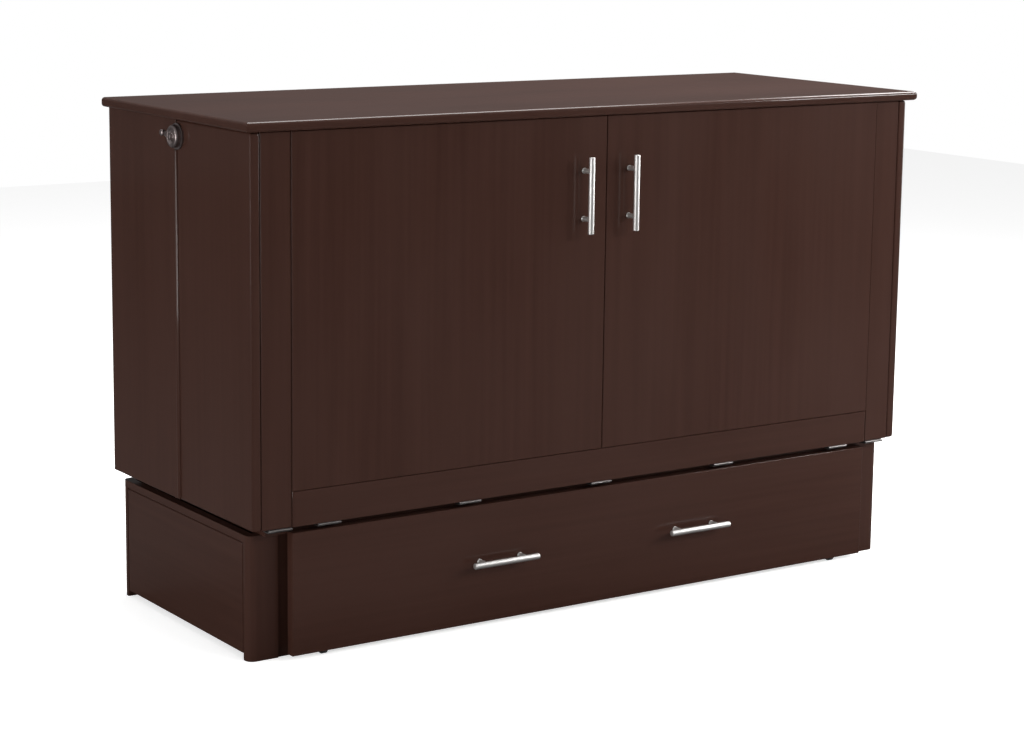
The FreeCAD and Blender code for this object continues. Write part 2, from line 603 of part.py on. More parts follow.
def pull_screws(label, axis, x, z, face, back):
    """The two screws of one pull, from the back of the board into the posts."""
    screws = []
    for end, way in (("a", "-"), ("b", "")):
        spot = along_bar(axis, x, z, f"({way}{S.pull_centres} / 2)")
        head = rod(f"{label}_head_{end}", "y", (spot[0], f"{back} - {S.screw_head_height}", spot[1]),
                   S.screw_head_height, S.screw_head_radius)
        shank = rod(f"{label}_shank_{end}", "y", (spot[0], f"{face} - {S.screw_depth}", spot[1]),
                    f"({back}) - ({face}) + {S.screw_depth}", S.screw_radius)
        screws.append(fuse(f"{label}_{end}", head, shank))
    return screws


def make_pulls():
    door_screws, drawer_screws = [], []
    for side in ("left", "right"):
        x = at(side, S.door_pull_offset)
        face = f"(-{S.door_proud})"
        keep(pull(f"door_pull_{side}", "z", x, DOOR_PULL_Z, face))
        door_screws += pull_screws(f"door_screw_{side}", "z", x, DOOR_PULL_Z, face, CORE_BACK)
        x = at(side, S.drawer_pull_offset)
        keep(pull(f"drawer_pull_{side}", "x", x, S.drawer_pull_height, DRAWER_FACE))
        drawer_screws += pull_screws(f"drawer_screw_{side}", "x", x, S.drawer_pull_height,
                                     DRAWER_FACE, DRAWER_BACK)
    keep(group("door_pull_screws", door_screws))
    keep(group("drawer_pull_screws", drawer_screws))


# ---------------------------------------------------------------- side latches

def make_latches():
    """A turning latch at the top of each side seam, with its keeper behind the seam."""
    for side in ("left", "right"):
        y = f"({S.front_side_depth} - {S.latch_forward})"
        z = f"({Z_LID} - {S.latch_drop})"
        plate_out = f"({HALF_WIDTH} + {S.latch_plate_thickness})"
        cam_in = f"({plate_out} + {S.latch_clearance})"
        cam_out = f"({cam_in} + {S.latch_cam_thickness})"
        head_in = f"({cam_out} + {S.latch_clearance})"
        head_out = f"({head_in} + {S.latch_head_height})"
        seam = (f"{S.front_side_depth} - {S.tray_gap} / 2", f"{S.front_side_depth} + {S.tray_gap} / 2")
        reach = f"2 * {S.latch_plate_radius}"  # well past the plate's edge
        around = (f"{z} - {reach}", f"{z} + {reach}")
        deep = span(side, HALF_WIDTH, f"{plate_out} + {S.latch_clearance} / 2")

        def disc(name, inner, outer, radius, centre=(y, z)):
            low, high = span(side, inner, outer)
            return rod(f"latch_{name}_{side}", "x", (low, *centre), f"({high}) - ({low})", radius)

        front_half = cut(f"latch_plate_{side}",
                         disc("plate_disc", HALF_WIDTH, plate_out, S.latch_plate_radius),
                         block(f"latch_plate_trim_{side}", deep, (seam[0], f"{y} + {reach}"), around))
        rivet = disc("rivet", HALF_WIDTH, head_out, S.latch_pivot_radius)
        head = disc("rivet_head", head_in, head_out, S.latch_head_radius)
        keep(fuse(f"latch_base_{side}", front_half, rivet, head))
        keep(cut(f"latch_keeper_{side}",
                 disc("keeper_disc", HALF_WIDTH, plate_out, S.latch_plate_radius),
                 block(f"latch_keeper_trim_{side}", deep, (f"{y} - {reach}", seam[1]), around)))
        lever_end = (f"({y} + {S.lever_reach})", f"({z} + {S.lever_rise})")
        lever = block(f"latch_lever_{side}", span(side, f"{cam_out} - {S.lever_thickness}", cam_out),
                      (y, lever_end[0]),
                      (f"{lever_end[1]} - {S.lever_width} / 2", f"{lever_end[1]} + {S.lever_width} / 2"))
        knob = disc("knob", f"{cam_out} - {S.lever_thickness}", f"{cam_out} + {S.lever_knob_outward}",
                    S.lever_knob_radius, lever_end)
        blank = fuse(f"latch_blank_{side}",
                     disc("cam_disc", cam_in, cam_out, S.latch_cam_radius), lever, knob)
        keep(cut(f"latch_cam_{side}", blank,
                 disc("cam_bore", cam_in, cam_out, f"{S.latch_pivot_radius} + {S.pin_clearance}")))


# ---------------------------------------------------------------- fold-out foot deck

def make_foot_deck():
    """The foot end of the bed deck, folded flat behind the front, with its hinges and legs."""
    half = f"({INNER_HALF} - {S.foot_deck_side_gap})"
    top = f"({Z_TRAY_TOP} - {S.foot_deck_top_gap})"
    bottom = f"({Z_BODY} + {S.foot_deck_foot_gap})"
    keep(block("foot_deck", (f"-{half}", half),
               (f"{CORE_BACK} + {S.foot_deck_seat}", FOOT_DECK_BACK), (bottom, top)))
    hinges = []
    for number, step in enumerate((-1, 0, 1), start=1):
        low = f"({step} * {S.foot_hinge_pitch} - {S.foot_hinge_length} / 2)"
        across = (low, f"{low} + {S.foot_hinge_length}")
        hinges.append(fuse(
            f"foot_hinge_{number}",
            block(f"foot_hinge_{number}_front", across, (CORE_BACK, f"{CORE_BACK} + {S.foot_hinge_leaf}"),
                  (top, Z_TRAY_TOP)),
            block(f"foot_hinge_{number}_deck", across, (CORE_BACK, FOOT_DECK_BACK),
                  (top, f"{top} + {S.foot_hinge_leaf}")),
            rod(f"foot_hinge_{number}_knuckle", "x",
                (low, f"{CORE_BACK} + {S.foot_knuckle_radius}", f"{top} + {S.foot_knuckle_radius}"),
                S.foot_hinge_length, S.foot_knuckle_radius),
        ))
    keep(group("foot_deck_hinges", hinges))
    legs, brackets = [], []
    for side in ("left", "right"):
        outer = f"({half} - {S.leg_side_inset})"
        inner = f"({outer} - {S.leg_width})"
        leg_front = f"({FOOT_DECK_BACK} + {S.leg_plate})"
        legs.append(block(f"foot_leg_{side}", span(side, inner, outer), (leg_front, LEG_BACK),
                          (bottom, f"{bottom} + {S.leg_length}")))
        up = (bottom, f"{bottom} + {S.leg_bracket_height}")
        wide = span(side, f"{inner} - {S.leg_plate}", f"{outer} + {S.leg_plate}")
        brackets.append(fuse(
            f"leg_bracket_{side}",
            block(f"leg_bracket_plate_{side}", wide, (FOOT_DECK_BACK, leg_front), up),
            block(f"leg_bracket_in_{side}", span(side, f"{inner} - {S.leg_plate}", inner),
                  (FOOT_DECK_BACK, LEG_BACK), up),
            block(f"leg_bracket_out_{side}", span(side, outer, f"{outer} + {S.leg_plate}"),
                  (FOOT_DECK_BACK, LEG_BACK), up),
        ))
    keep(group("foot_legs", legs))
    keep(group("foot_leg_brackets", brackets))


# ---------------------------------------------------------------- mattress

MATTRESS_START = f"({LEG_BACK} + {S.mattress_front_room})"
MATTRESS_END = f"({S.body_depth} - {S.board_thickness} - {S.mattress_back_room})"
MATTRESS_STEP = f"(({MATTRESS_END} - {MATTRESS_START} + {S.mattress_clearance}) / 3)"
MATTRESS_FOOT = f"({Z_FLOOR_TOP} + {S.mattress_clearance})"
MATTRESS_HALF = f"({INNER_HALF} - {S.mattress_side_room})"


def make_mattress():
    """Three mattress sections stood on edge, each with crowned faces and drawn-in sides."""
    for number, name in enumerate(("front", "middle", "rear")):
        section = doc.addObject("Part::Feature", f"mattress_{name}")
        section.Shape = mattress_section()
        keep(put(section, "0", f"{MATTRESS_START} + {number} * {MATTRESS_STEP}", MATTRESS_FOOT))


def measured(expression):
    """The number that an expression of the cells comes to."""
    return float(sheet.evalExpression(expression))


def mattress_section():
    """A loft along x through four outlines, smaller at the two ends; y and z start at 0."""
    half = measured(MATTRESS_HALF)
    draw = measured(S.mattress_side_draw)
    stations = ((-half, draw), (-half + draw, 0), (half - draw, 0), (half, draw))
    outlines = [mattress_outline(x, inset) for x, inset in stations]
    return Part.makeLoft(outlines, True, True)


def mattress_outline(x, inset):
    """A flat foot, two crowned faces and a crowned top edge, drawn in all round by the inset."""
    thickness = measured(f"{MATTRESS_STEP} - {S.mattress_clearance}")
    height = measured(f"{Z_LID} - {S.mattress_top_room} - {MATTRESS_FOOT}")
    crown = measured(S.mattress_crown)
    low = crown + inset
    high = thickness - crown - inset
    top = height - crown - inset
    corners = [Vector(x, low, 0), Vector(x, high, 0), Vector(x, high, top), Vector(x, low, top)]
    swell = [Vector(x, thickness - inset, top / 2), Vector(x, thickness / 2, height - inset),
             Vector(x, inset, top / 2)]
    edges = [Part.LineSegment(corners[0], corners[1]).toShape()]
    for number in range(3):
        start, end = corners[number + 1], corners[(number + 2) % 4]
        edges.append(Part.Arc(start, swell[number], end).toShape())
    return Part.Wire(edges)


# ---------------------------------------------------------------- drawer

def make_drawer():
    """The full-width drawer: its front, box and bottom."""
    half = f"({HALF_WIDTH} - {S.drawer_front_inset})"
    front = board("drawer_front_board", (f"-{half}", half), (DRAWER_FACE, DRAWER_BACK),
                  (S.drawer_floor_gap, f"{Z_FLOOR} - {S.drawer_top_gap}"),
                  [f"front {face}" for face in ("left", "right", "top", "bottom")],
                  "Fillet", S.drawer_front_round)
    cuts = []
    for side in ("left", "right"):
        x = at(side, S.drawer_pull_offset)
        cuts += pull_holes(f"drawer_front_{side}", "x", x, S.drawer_pull_height, DRAWER_FACE, DRAWER_BACK)
        pocket = f"({S.wheel_width} / 2 + {S.wheel_clearance} + {S.caster_plate} + {S.pocket_clearance})"
        cuts.append(block(f"wheel_pocket_{side}",
                          span(side, f"{CASTER_X} - {pocket}", f"{CASTER_X} + {pocket}"),
                          (f"{CASTER_FRONT} - {S.wheel_radius} - {S.pocket_clearance}", DRAWER_BACK),
                          ("0", f"{S.drawer_box_lift} + {S.pocket_clearance}")))
    keep(cut("drawer_front", front, *cuts))
    inner = f"({BOX_HALF} - {S.drawer_side_thickness})"
    back_face = f"({BOX_BACK} - {S.drawer_side_thickness})"
    up = (S.drawer_box_lift, f"{S.base_height} - {S.drawer_box_top_gap}")
    for side in ("left", "right"):
        keep(block(f"drawer_side_{side}", span(side, inner, BOX_HALF), (DRAWER_BACK, BOX_BACK), up))
    keep(block("drawer_back", (f"-{inner}", inner), (back_face, BOX_BACK), up))
    keep(block("drawer_bottom", (f"-{inner}", inner), (DRAWER_BACK, back_face),
               (S.drawer_box_lift, f"{S.drawer_box_lift} + {S.drawer_bottom_thickness}")))


def make_casters():
    """Four fixed casters under the drawer: plate and ears, axle and wheel."""
    brackets, axles = [], []
    for place, y in (("front", CASTER_FRONT), ("rear", CASTER_BACK)):
        for side in ("left", "right"):
            name = f"caster_{place}_{side}"
            x = at(side, CASTER_X)
            in_ear = f"({S.wheel_width} / 2 + {S.wheel_clearance})"
            out_ear = f"({in_ear} + {S.caster_plate})"
            plate_z = f"({S.drawer_box_lift} - {S.caster_plate})"
            ear_start = f"({y} - {S.axle_edge})"
            ear_y = (ear_start, f"{y} + {S.axle_edge}")
            ear_z = (f"{S.wheel_radius} - {S.axle_edge}", S.drawer_box_lift)
            plate = block(f"{name}_plate", (f"{x} - {out_ear}", f"{x} + {out_ear}"),
                          (ear_start, f"{ear_start} + {S.caster_length}"), (plate_z, S.drawer_box_lift))
            ears = [block(f"{name}_ear_a", (f"{x} - {out_ear}", f"{x} - {in_ear}"), ear_y, ear_z),
                    block(f"{name}_ear_b", (f"{x} + {in_ear}", f"{x} + {out_ear}"), ear_y, ear_z)]
            axle_start = (f"{x} - {out_ear}", y, S.wheel_radius)
            bore = rod(f"{name}_bore", "x", axle_start, f"2 * {out_ear}", S.axle_radius)
            brackets.append(cut(f"{name}_bracket", fuse(f"{name}_frame", plate, *ears), bore))
            axles.append(rod(f"{name}_axle", "x", axle_start, f"2 * {out_ear}", S.axle_radius))
            tyre = rod(f"{name}_tyre", "x", (f"{x} - {S.wheel_width} / 2", y, S.wheel_radius),
                       S.wheel_width, S.wheel_radius)
            hole = rod(f"{name}_hole", "x", (f"{x} - {S.wheel_width} / 2", y, S.wheel_radius),
                       S.wheel_width, f"{S.axle_radius} + {S.axle_clearance}")
            keep(cut(f"wheel_{place}_{side}", tyre, hole))
    keep(group("caster_brackets", brackets))
    keep(group("caster_axles", axles))


# ---------------------------------------------------------------- build, check and write

make_base()
make_cabinet()
make_lid()
make_front()
make_front_hinges()
make_pulls()
make_latches()
make_foot_deck()
make_mattress()
make_drawer()
make_casters()
doc.recompute()

for feature in doc.Objects:
    if {"Invalid", "Error"} & set(feature.State):
        raise SystemExit(f"{feature.Label} failed: {feature.State}")

os.makedirs("parts", exist_ok=True)
for piece in nodes:
    shape = piece.Shape
    if shape.isNull() or not shape.isValid() or not shape.Solids:
        raise SystemExit(f"{piece.Label} has no valid solid")
    shape.exportStep(f"parts/{piece.Label}.step")
    box = shape.BoundBox
    print(f"{piece.Label:28s} {len(shape.Solids):2d} solid(s), {shape.Volume / 1000:10.1f} cm3, "
          f"x {box.XMin:8.2f} {box.XMax:8.2f}  y {box.YMin:8.2f} {box.YMax:8.2f}  "
          f"z {box.ZMin:8.2f} {box.ZMax:8.2f}")
print(f"{len(nodes)} nodes")
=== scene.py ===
# %% [markdown]
# # A cabinet bed in dark lacquer
# The piece of furniture is a chest, 1.63 m wide, whose front folds down and turns it into a bed. It is a good
# lesson because almost everything on it is a plain board: what makes it look real is the eased edge of each
# board, the satin lacquer, and a few small metal parts. The construction comes from a fixed frame of modelled
# boards, so this script adds only finishes and finer pieces, each at the place that the frame gives.

# %% Load the frame
import json
import math

import bmesh
import bpy
import numpy as np
from mathutils import Matrix, Vector
from mathutils.bvhtree import BVHTree


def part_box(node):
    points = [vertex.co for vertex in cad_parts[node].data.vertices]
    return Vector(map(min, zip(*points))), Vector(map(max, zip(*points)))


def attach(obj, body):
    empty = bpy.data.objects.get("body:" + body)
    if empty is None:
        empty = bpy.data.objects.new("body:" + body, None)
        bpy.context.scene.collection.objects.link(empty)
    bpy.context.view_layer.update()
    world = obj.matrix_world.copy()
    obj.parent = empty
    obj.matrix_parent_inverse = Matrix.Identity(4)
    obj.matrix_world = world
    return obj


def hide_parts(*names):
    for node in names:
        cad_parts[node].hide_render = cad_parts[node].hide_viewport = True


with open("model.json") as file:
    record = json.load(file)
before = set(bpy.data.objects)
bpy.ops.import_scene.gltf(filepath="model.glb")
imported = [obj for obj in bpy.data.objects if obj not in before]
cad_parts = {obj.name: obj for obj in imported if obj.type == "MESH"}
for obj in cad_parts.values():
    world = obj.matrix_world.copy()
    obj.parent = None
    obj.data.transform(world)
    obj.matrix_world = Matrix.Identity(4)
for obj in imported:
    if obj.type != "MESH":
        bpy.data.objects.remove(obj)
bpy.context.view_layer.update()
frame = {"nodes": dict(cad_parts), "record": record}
nodes = frame["nodes"]


# %% [markdown]
# ## The stage
# A product picture of dark furniture needs a pale surround, or the lacquer has nothing to reflect. The floor
# could be a grey plane under strong lamps, but then the lamps would have to be turned up until it is white,
# and the furniture would bleach. So the world is white, and the floor glows, only for rays that come from
# the camera. Something shiny mirrors a dimmer sky, darker at eye level than overhead, because dark lacquer
# under a fully white sky would look grey.

# %% The world
WORLD_LIGHT = 0.32     # how strongly the pale surround lights matt surfaces
SKY_LOW, SKY_HIGH = 0.10, 0.45    # what gloss mirrors at eye level and overhead
RISE_START, RISE_END = 0.15, 0.80    # between which heights of the sky it brightens; 1 is straight up


def link(tree, source, target):
    tree.links.new(source, target)


def studio_world():
    world = bpy.data.worlds.new("studio")
    world.use_nodes = True
    tree = world.node_tree
    tree.nodes.clear()
    output = tree.nodes.new("ShaderNodeOutputWorld")
    sky = tree.nodes.new("ShaderNodeBackground")
    path = tree.nodes.new("ShaderNodeLightPath")
    sky.inputs["Color"].default_value = (1, 1, 1, 1)
    coords = tree.nodes.new("ShaderNodeTexCoord")
    split = tree.nodes.new("ShaderNodeSeparateXYZ")
    height = tree.nodes.new("ShaderNodeMapRange")
    height.inputs["From Min"].default_value = RISE_START
    height.inputs["From Max"].default_value = RISE_END
    height.inputs["To Min"].default_value = SKY_LOW
    height.inputs["To Max"].default_value = SKY_HIGH
    link(tree, coords.outputs["Generated"], split.inputs[0])
    link(tree, split.outputs["Z"], height.inputs["Value"])
    gloss = tree.nodes.new("ShaderNodeMath")
    gloss.operation = "MAXIMUM"
    link(tree, path.outputs["Is Glossy Ray"], gloss.inputs[0])
    link(tree, path.outputs["Is Transmission Ray"], gloss.inputs[1])
    shiny = tree.nodes.new("ShaderNodeMix")
    shiny.inputs["A"].default_value = WORLD_LIGHT
    link(tree, gloss.outputs[0], shiny.inputs["Factor"])
    link(tree, height.outputs[0], shiny.inputs["B"])
    seen = tree.nodes.new("ShaderNodeMix")
    seen.inputs["B"].default_value = 1.0
    link(tree, path.outputs["Is Camera Ray"], seen.inputs["Factor"])
    link(tree, shiny.outputs["Result"], seen.inputs["A"])
    link(tree, seen.outputs["Result"], sky.inputs["Strength"])
    link(tree, sky.outputs[0], output.inputs[0])
    bpy.context.scene.world = world
    return world


print("world:", studio_world().name)


# %% [markdown]
# The floor catches the furniture's soft shadow. A glow that only the camera sees lifts the lit floor to
# white, while the shadow under the base stays darker. Gloss sees a dark floor, for the same reason as the sky.

# %% The floor
FLOOR_SIZE = 14.0
FLOOR_WHITE = 0.80
FLOOR_MIRRORED = 0.10    # its colour as gloss mirrors it, or the lacquer would turn grey near the floor
FLOOR_GLOW = 0.62    # added for the camera only


def studio_floor():
    mesh = bpy.data.meshes.new("floor")
    half = FLOOR_SIZE / 2
    corners = [(-half, -half, 0), (half, -half, 0), (half, half, 0), (-half, half, 0)]
    mesh.from_pydata(corners, [], [(0, 1, 2, 3)])
    floor = bpy.data.objects.new("floor", mesh)
    bpy.context.scene.collection.objects.link(floor)
    material = bpy.data.materials.new("pale_floor")
    material.use_nodes = True
    tree = material.node_tree
    shader = tree.nodes["Principled BSDF"]
    shader.inputs["Roughness"].default_value = 1.0
    shader.inputs["Specular IOR Level"].default_value = 0.0
    shader.inputs["Emission Color"].default_value = (1, 1, 1, 1)
    path = tree.nodes.new("ShaderNodeLightPath")
    tone = tree.nodes.new("ShaderNodeMix")
    tone.inputs["A"].default_value = FLOOR_WHITE
    tone.inputs["B"].default_value = FLOOR_MIRRORED
    link(tree, path.outputs["Is Glossy Ray"], tone.inputs["Factor"])
    link(tree, tone.outputs["Result"], shader.inputs["Base Color"])
    glow = tree.nodes.new("ShaderNodeMath")
    glow.operation = "MULTIPLY"
    glow.inputs[1].default_value = FLOOR_GLOW
    link(tree, path.outputs["Is Camera Ray"], glow.inputs[0])
    link(tree, glow.outputs[0], shader.inputs["Emission Strength"])
    mesh.materials.append(material)
    return floor


print("floor:", studio_floor().name)


# %% [markdown]
# ## Light
# Satin lacquer mirrors its lamps, so they stand where no large face sends their image into the camera. A wide
# one hangs over the lid, behind the front's plane, so that it lights the lid and not the doors. A narrow one
# beside it draws the bright line along the lid's front edge. A high one in front fills the doors, one on each
# side draws the thin bright lines on the upright edges, and two small ones light the seams and the hinges.

# %% The lamps
LAMPS = [
    # name, place, what it faces, width, height, watts
    ("over", (0.3, 0.3, 2.9), (0.3, 0.3, 1.0), 2.6, 1.2, 118),
    ("rim", (2.5, 0.1, 2.9), (0.7, -0.2, 1.0), 1.8, 0.35, 62),
    ("front", (2.3, -5.0, 2.9), (0.1, -0.3, 0.4), 2.6, 1.0, 105),
    ("right", (4.4, -1.6, 1.0), (0.6, -0.3, 0.5), 1.4, 1.6, 60),
    ("glint", (2.4, -2.2, 1.7), (0.7, -0.3, 0.3), 0.5, 0.3, 38),
    ("left", (-4.3, -0.2, 0.9), (-0.7, 0.0, 0.6), 3.0, 1.7, 73),
    ("edge", (-4.6, -1.9, 0.6), (-0.8, -0.3, 0.5), 0.5, 1.2, 35),
]


def soft_lamp(name, place, target, width, height, watts):
    data = bpy.data.lights.new(f"lamp_{name}", "AREA")
    data.shape = "RECTANGLE"
    data.size, data.size_y, data.energy = width, height, watts
    lamp = bpy.data.objects.new(f"lamp_{name}", data)
    lamp.location = place
    lamp.rotation_euler = (Vector(target) - Vector(place)).to_track_quat("-Z", "Y").to_euler()
    bpy.context.scene.collection.objects.link(lamp)
    return lamp


lamps = {name: soft_lamp(name, *rest) for name, *rest in LAMPS}
lamps["front"].visible_glossy = False    # it only fills; its mirror image would bleach the hinges
print("lamps:", list(lamps))

# %% [markdown]
# ## Camera
# The place and the lens come from fitting a camera to the straight edges in the photograph: it stands in
# front of the cabinet's left end, 1.44 m up, and looks down by ten degrees. A small shift replaces a part of
# the tilt, which keeps the upright edges nearly upright.

# %% The camera
PICTURE_WIDTH = 1024
FOCAL_PIXELS = 2464
SHIFT_PIXELS = -50
CAMERA_PLACE = (-2.895, -4.2365, 1.444)
YAW, PITCH, ROLL = 34.08, -9.77, 0.70    # degrees


def photo_camera():
    data = bpy.data.cameras.new("photo_view")
    data.sensor_width = 36.0
    data.lens = FOCAL_PIXELS / PICTURE_WIDTH * data.sensor_width
    data.shift_y = SHIFT_PIXELS / PICTURE_WIDTH
    camera = bpy.data.objects.new("photo_view", data)
    camera.location = CAMERA_PLACE
    turn = Matrix.Rotation(math.radians(-YAW), 3, "Z") @ Matrix.Rotation(math.radians(90 + PITCH), 3, "X")
    camera.rotation_euler = (turn @ Matrix.Rotation(math.radians(ROLL), 3, "Z")).to_euler()
    bpy.context.scene.collection.objects.link(camera)
    bpy.context.scene.camera = camera
    return camera


print("camera lens:", round(photo_camera().data.lens, 1), "mm")
bpy.context.scene.view_settings.view_transform = "Standard"


# %% [markdown]
# ## Finishes
# Every finish here is a small node tree on Object coordinates. The CAD pieces all keep their object at the
# origin, so a grain that runs along x runs along x on every board, and neighbours match like boards from one
# tree. A helper starts each material, and another lays a noise that is long in one direction.

# %% Helpers for node trees
AXES = "xyz"


def new_finish(name, **constants):
    """A principled material whose steady values stand on the shader's own sockets."""
    material = bpy.data.materials.new(name)
    material.use_nodes = True
    shader = material.node_tree.nodes["Principled BSDF"]
    for socket, value in constants.items():
        shader.inputs[socket.replace("_", " ")].default_value = value
    return material, material.node_tree, shader


def streaks(tree, axis, length, width, detail=4.0, seed=0.0):
    """Noise whose marks are length long on one axis and width wide on the others, in metres."""
    coords = tree.nodes.new("ShaderNodeTexCoord")
    mapping = tree.nodes.new("ShaderNodeMapping")
    mapping.inputs["Location"].default_value = (seed, seed * 0.7, seed * 0.3)
    mapping.inputs["Scale"].default_value = [1 / length if a == axis else 1 / width for a in AXES]
    noise = tree.nodes.new("ShaderNodeTexNoise")
    noise.inputs["Scale"].default_value = 1.0
    noise.inputs["Detail"].default_value = detail
    link(tree, coords.outputs["Object"], mapping.inputs["Vector"])
    link(tree, mapping.outputs[0], noise.inputs["Vector"])
    return noise.outputs["Fac"]


def between(tree, value, low, high, from_low=0.3, from_high=0.7):
    """Spreads a noise over a range of numbers."""
    spread = tree.nodes.new("ShaderNodeMapRange")
    spread.inputs["From Min"].default_value = from_low
    spread.inputs["From Max"].default_value = from_high
    spread.inputs["To Min"].default_value = low
    spread.inputs["To Max"].default_value = high
    link(tree, value, spread.inputs["Value"])
    return spread.outputs[0]


def mixed(tree, factor, first, second):
    """A colour between two others. Each is a colour, or the output of a node."""
    mix = tree.nodes.new("ShaderNodeMix")
    mix.data_type = "RGBA"
    link(tree, factor, mix.inputs["Factor"])
    for colour, socket in ((first, mix.inputs[6]), (second, mix.inputs[7])):
        if isinstance(colour, tuple):
            socket.default_value = (*colour, 1)
        else:
            link(tree, colour, socket)
    return mix.outputs[2]


def bumped(tree, shader, value, depth, strength=0.5):
    """Raises and sinks the surface by a depth in metres."""
    bump = tree.nodes.new("ShaderNodeBump")
    bump.inputs["Strength"].default_value = strength
    bump.inputs["Distance"].default_value = depth
    link(tree, value, bump.inputs["Height"])
    link(tree, bump.outputs[0], shader.inputs["Normal"])
    return bump


def dress(node_names, material):
    """Gives CAD pieces a material, in the slots that they came with."""
    for name in node_names:
        for place in nodes[name].material_slots:
            place.material = material


# %% [markdown]
# ## Espresso lacquer
# The boards are stained nearly black-brown and sprayed with a satin lacquer. The grain only just shows: faint
# long streaks in the colour, and pores that the lacquer has almost filled. Two layers of gloss are used, a
# broad dull one for the board and a thin clear coat that mirrors the pulls.

# %% The lacquer
STAIN_DARK = (0.0300, 0.0122, 0.0084)
STAIN_LIGHT = (0.0372, 0.0158, 0.0112)
STAIN_WORN = (0.0420, 0.0186, 0.0138)
GRAIN_STREAK = (0.55, 0.012)    # length and width, in metres
CLOUD_STREAK = (0.60, 0.22)
PORE_STREAK = (0.035, 0.0009)
PORE_DEPTH = 0.00012


def lacquer(name, grain_axis, seed):
    material, tree, shader = new_finish(
        name, Specular_IOR_Level=0.04, Coat_Weight=0.42, Coat_Roughness=0.10, Coat_IOR=1.45)
    grain = streaks(tree, grain_axis, *GRAIN_STREAK, 6.0, seed)
    cloud = streaks(tree, grain_axis, *CLOUD_STREAK, 2.0, seed + 5)
    stained = mixed(tree, between(tree, grain, 0, 1), STAIN_DARK, STAIN_LIGHT)
    colour = mixed(tree, between(tree, cloud, 0, 0.55), stained, STAIN_WORN)
    link(tree, colour, shader.inputs["Base Color"])
    link(tree, between(tree, cloud, 0.30, 0.42), shader.inputs["Roughness"])
    pores = streaks(tree, grain_axis, *PORE_STREAK, 3.0, seed + 9)
    bumped(tree, shader, pores, PORE_DEPTH, 0.35)
    return material


LENGTHWISE = ["lid_panel", "bottom_rail", "base_deck", "cabinet_floor", "drawer_front", "base_back",
              "drawer_back"]
UPRIGHT = ["door_left", "door_right", "stile_left", "stile_right", "front_panel", "cabinet_back",
           "front_side_left", "front_side_right", "rear_side_left", "rear_side_right",
           "seam_strip_left", "seam_strip_right", "base_front_post_left", "base_front_post_right",
           "base_rear_post_left", "base_rear_post_right"]
DEEPWISE = ["base_side_left", "base_side_right", "drawer_side_left", "drawer_side_right", "drawer_guides"]

lacquer_along = lacquer("lacquer_lengthwise_grain", "x", 1.0)
lacquer_up = lacquer("lacquer_upright_grain", "z", 2.0)
lacquer_deep = lacquer("lacquer_grain_front_to_back", "y", 3.0)
dress(LENGTHWISE, lacquer_along)
dress(UPRIGHT, lacquer_up)
dress(DEEPWISE, lacquer_deep)
print("lacquered boards:", len(LENGTHWISE + UPRIGHT + DEEPWISE))


# %% [markdown]
# ## Birch plywood
# The drawer's bottom and the fold-out deck are pale. Plywood is told by its edge, where thin layers lie
# crosswise in turn. The layers can be painted from the position across the board's thickness, and shown
# only where the surface doesn't face that way.

# %% Plywood
BIRCH_PALE = (0.66, 0.50, 0.33)
BIRCH_DEEP = (0.52, 0.36, 0.21)
BIRCH_END = (0.30, 0.18, 0.095)
PLY = 0.0014    # one layer


def plywood(name, grain_axis, thickness_axis, seed):
    material, tree, shader = new_finish(name, Specular_IOR_Level=0.4)
    grain = streaks(tree, grain_axis, 0.42, 0.016, 7.0, seed)
    face = mixed(tree, between(tree, grain, 0, 1), BIRCH_PALE, BIRCH_DEEP)
    coords = tree.nodes.new("ShaderNodeTexCoord")
    across = tree.nodes.new("ShaderNodeSeparateXYZ")
    link(tree, coords.outputs["Object"], across.inputs[0])
    layer = tree.nodes.new("ShaderNodeMath")
    layer.operation = "PINGPONG"
    layer.inputs[1].default_value = PLY
    link(tree, across.outputs[AXES.index(thickness_axis)], layer.inputs[0])
    dark = between(tree, layer.outputs[0], 0, 1, PLY * 0.45, PLY * 0.55)
    edge = mixed(tree, dark, face, BIRCH_END)
    facing = tree.nodes.new("ShaderNodeSeparateXYZ")
    link(tree, coords.outputs["Normal"], facing.inputs[0])
    turned_away = tree.nodes.new("ShaderNodeMath")
    turned_away.operation = "ABSOLUTE"
    link(tree, facing.outputs[AXES.index(thickness_axis)], turned_away.inputs[0])
    on_face = between(tree, turned_away.outputs[0], 0, 1, 0.4, 0.6)
    link(tree, mixed(tree, on_face, edge, face), shader.inputs["Base Color"])
    link(tree, between(tree, grain, 0.42, 0.58), shader.inputs["Roughness"])
    bumped(tree, shader, streaks(tree, grain_axis, 0.03, 0.0011, 3.0, seed + 4), 0.00015, 0.4)
    return material


PLY_BOARDS = [
    # boards, grain, thickness
    (["drawer_bottom"], "x", "z"),
    (["foot_deck"], "x", "y"),
    (["foot_legs"], "z", "x"),
]
for number, (names, grain_axis, thickness_axis) in enumerate(PLY_BOARDS):
    dress(names, plywood(f"birch_{names[0]}", grain_axis, thickness_axis, number * 2.3))
    print("plywood:", names)


# %% [markdown]
# ## Metals and plastic
# Satin nickel is bright and slightly warm, and its fine brushing spreads the highlight. Zinc plate is greyer
# and cloudy. The latches are grey-brown bronze with lighter rubbed patches. Each is a metal with a varied
# roughness, because an even metal looks like plastic foil.

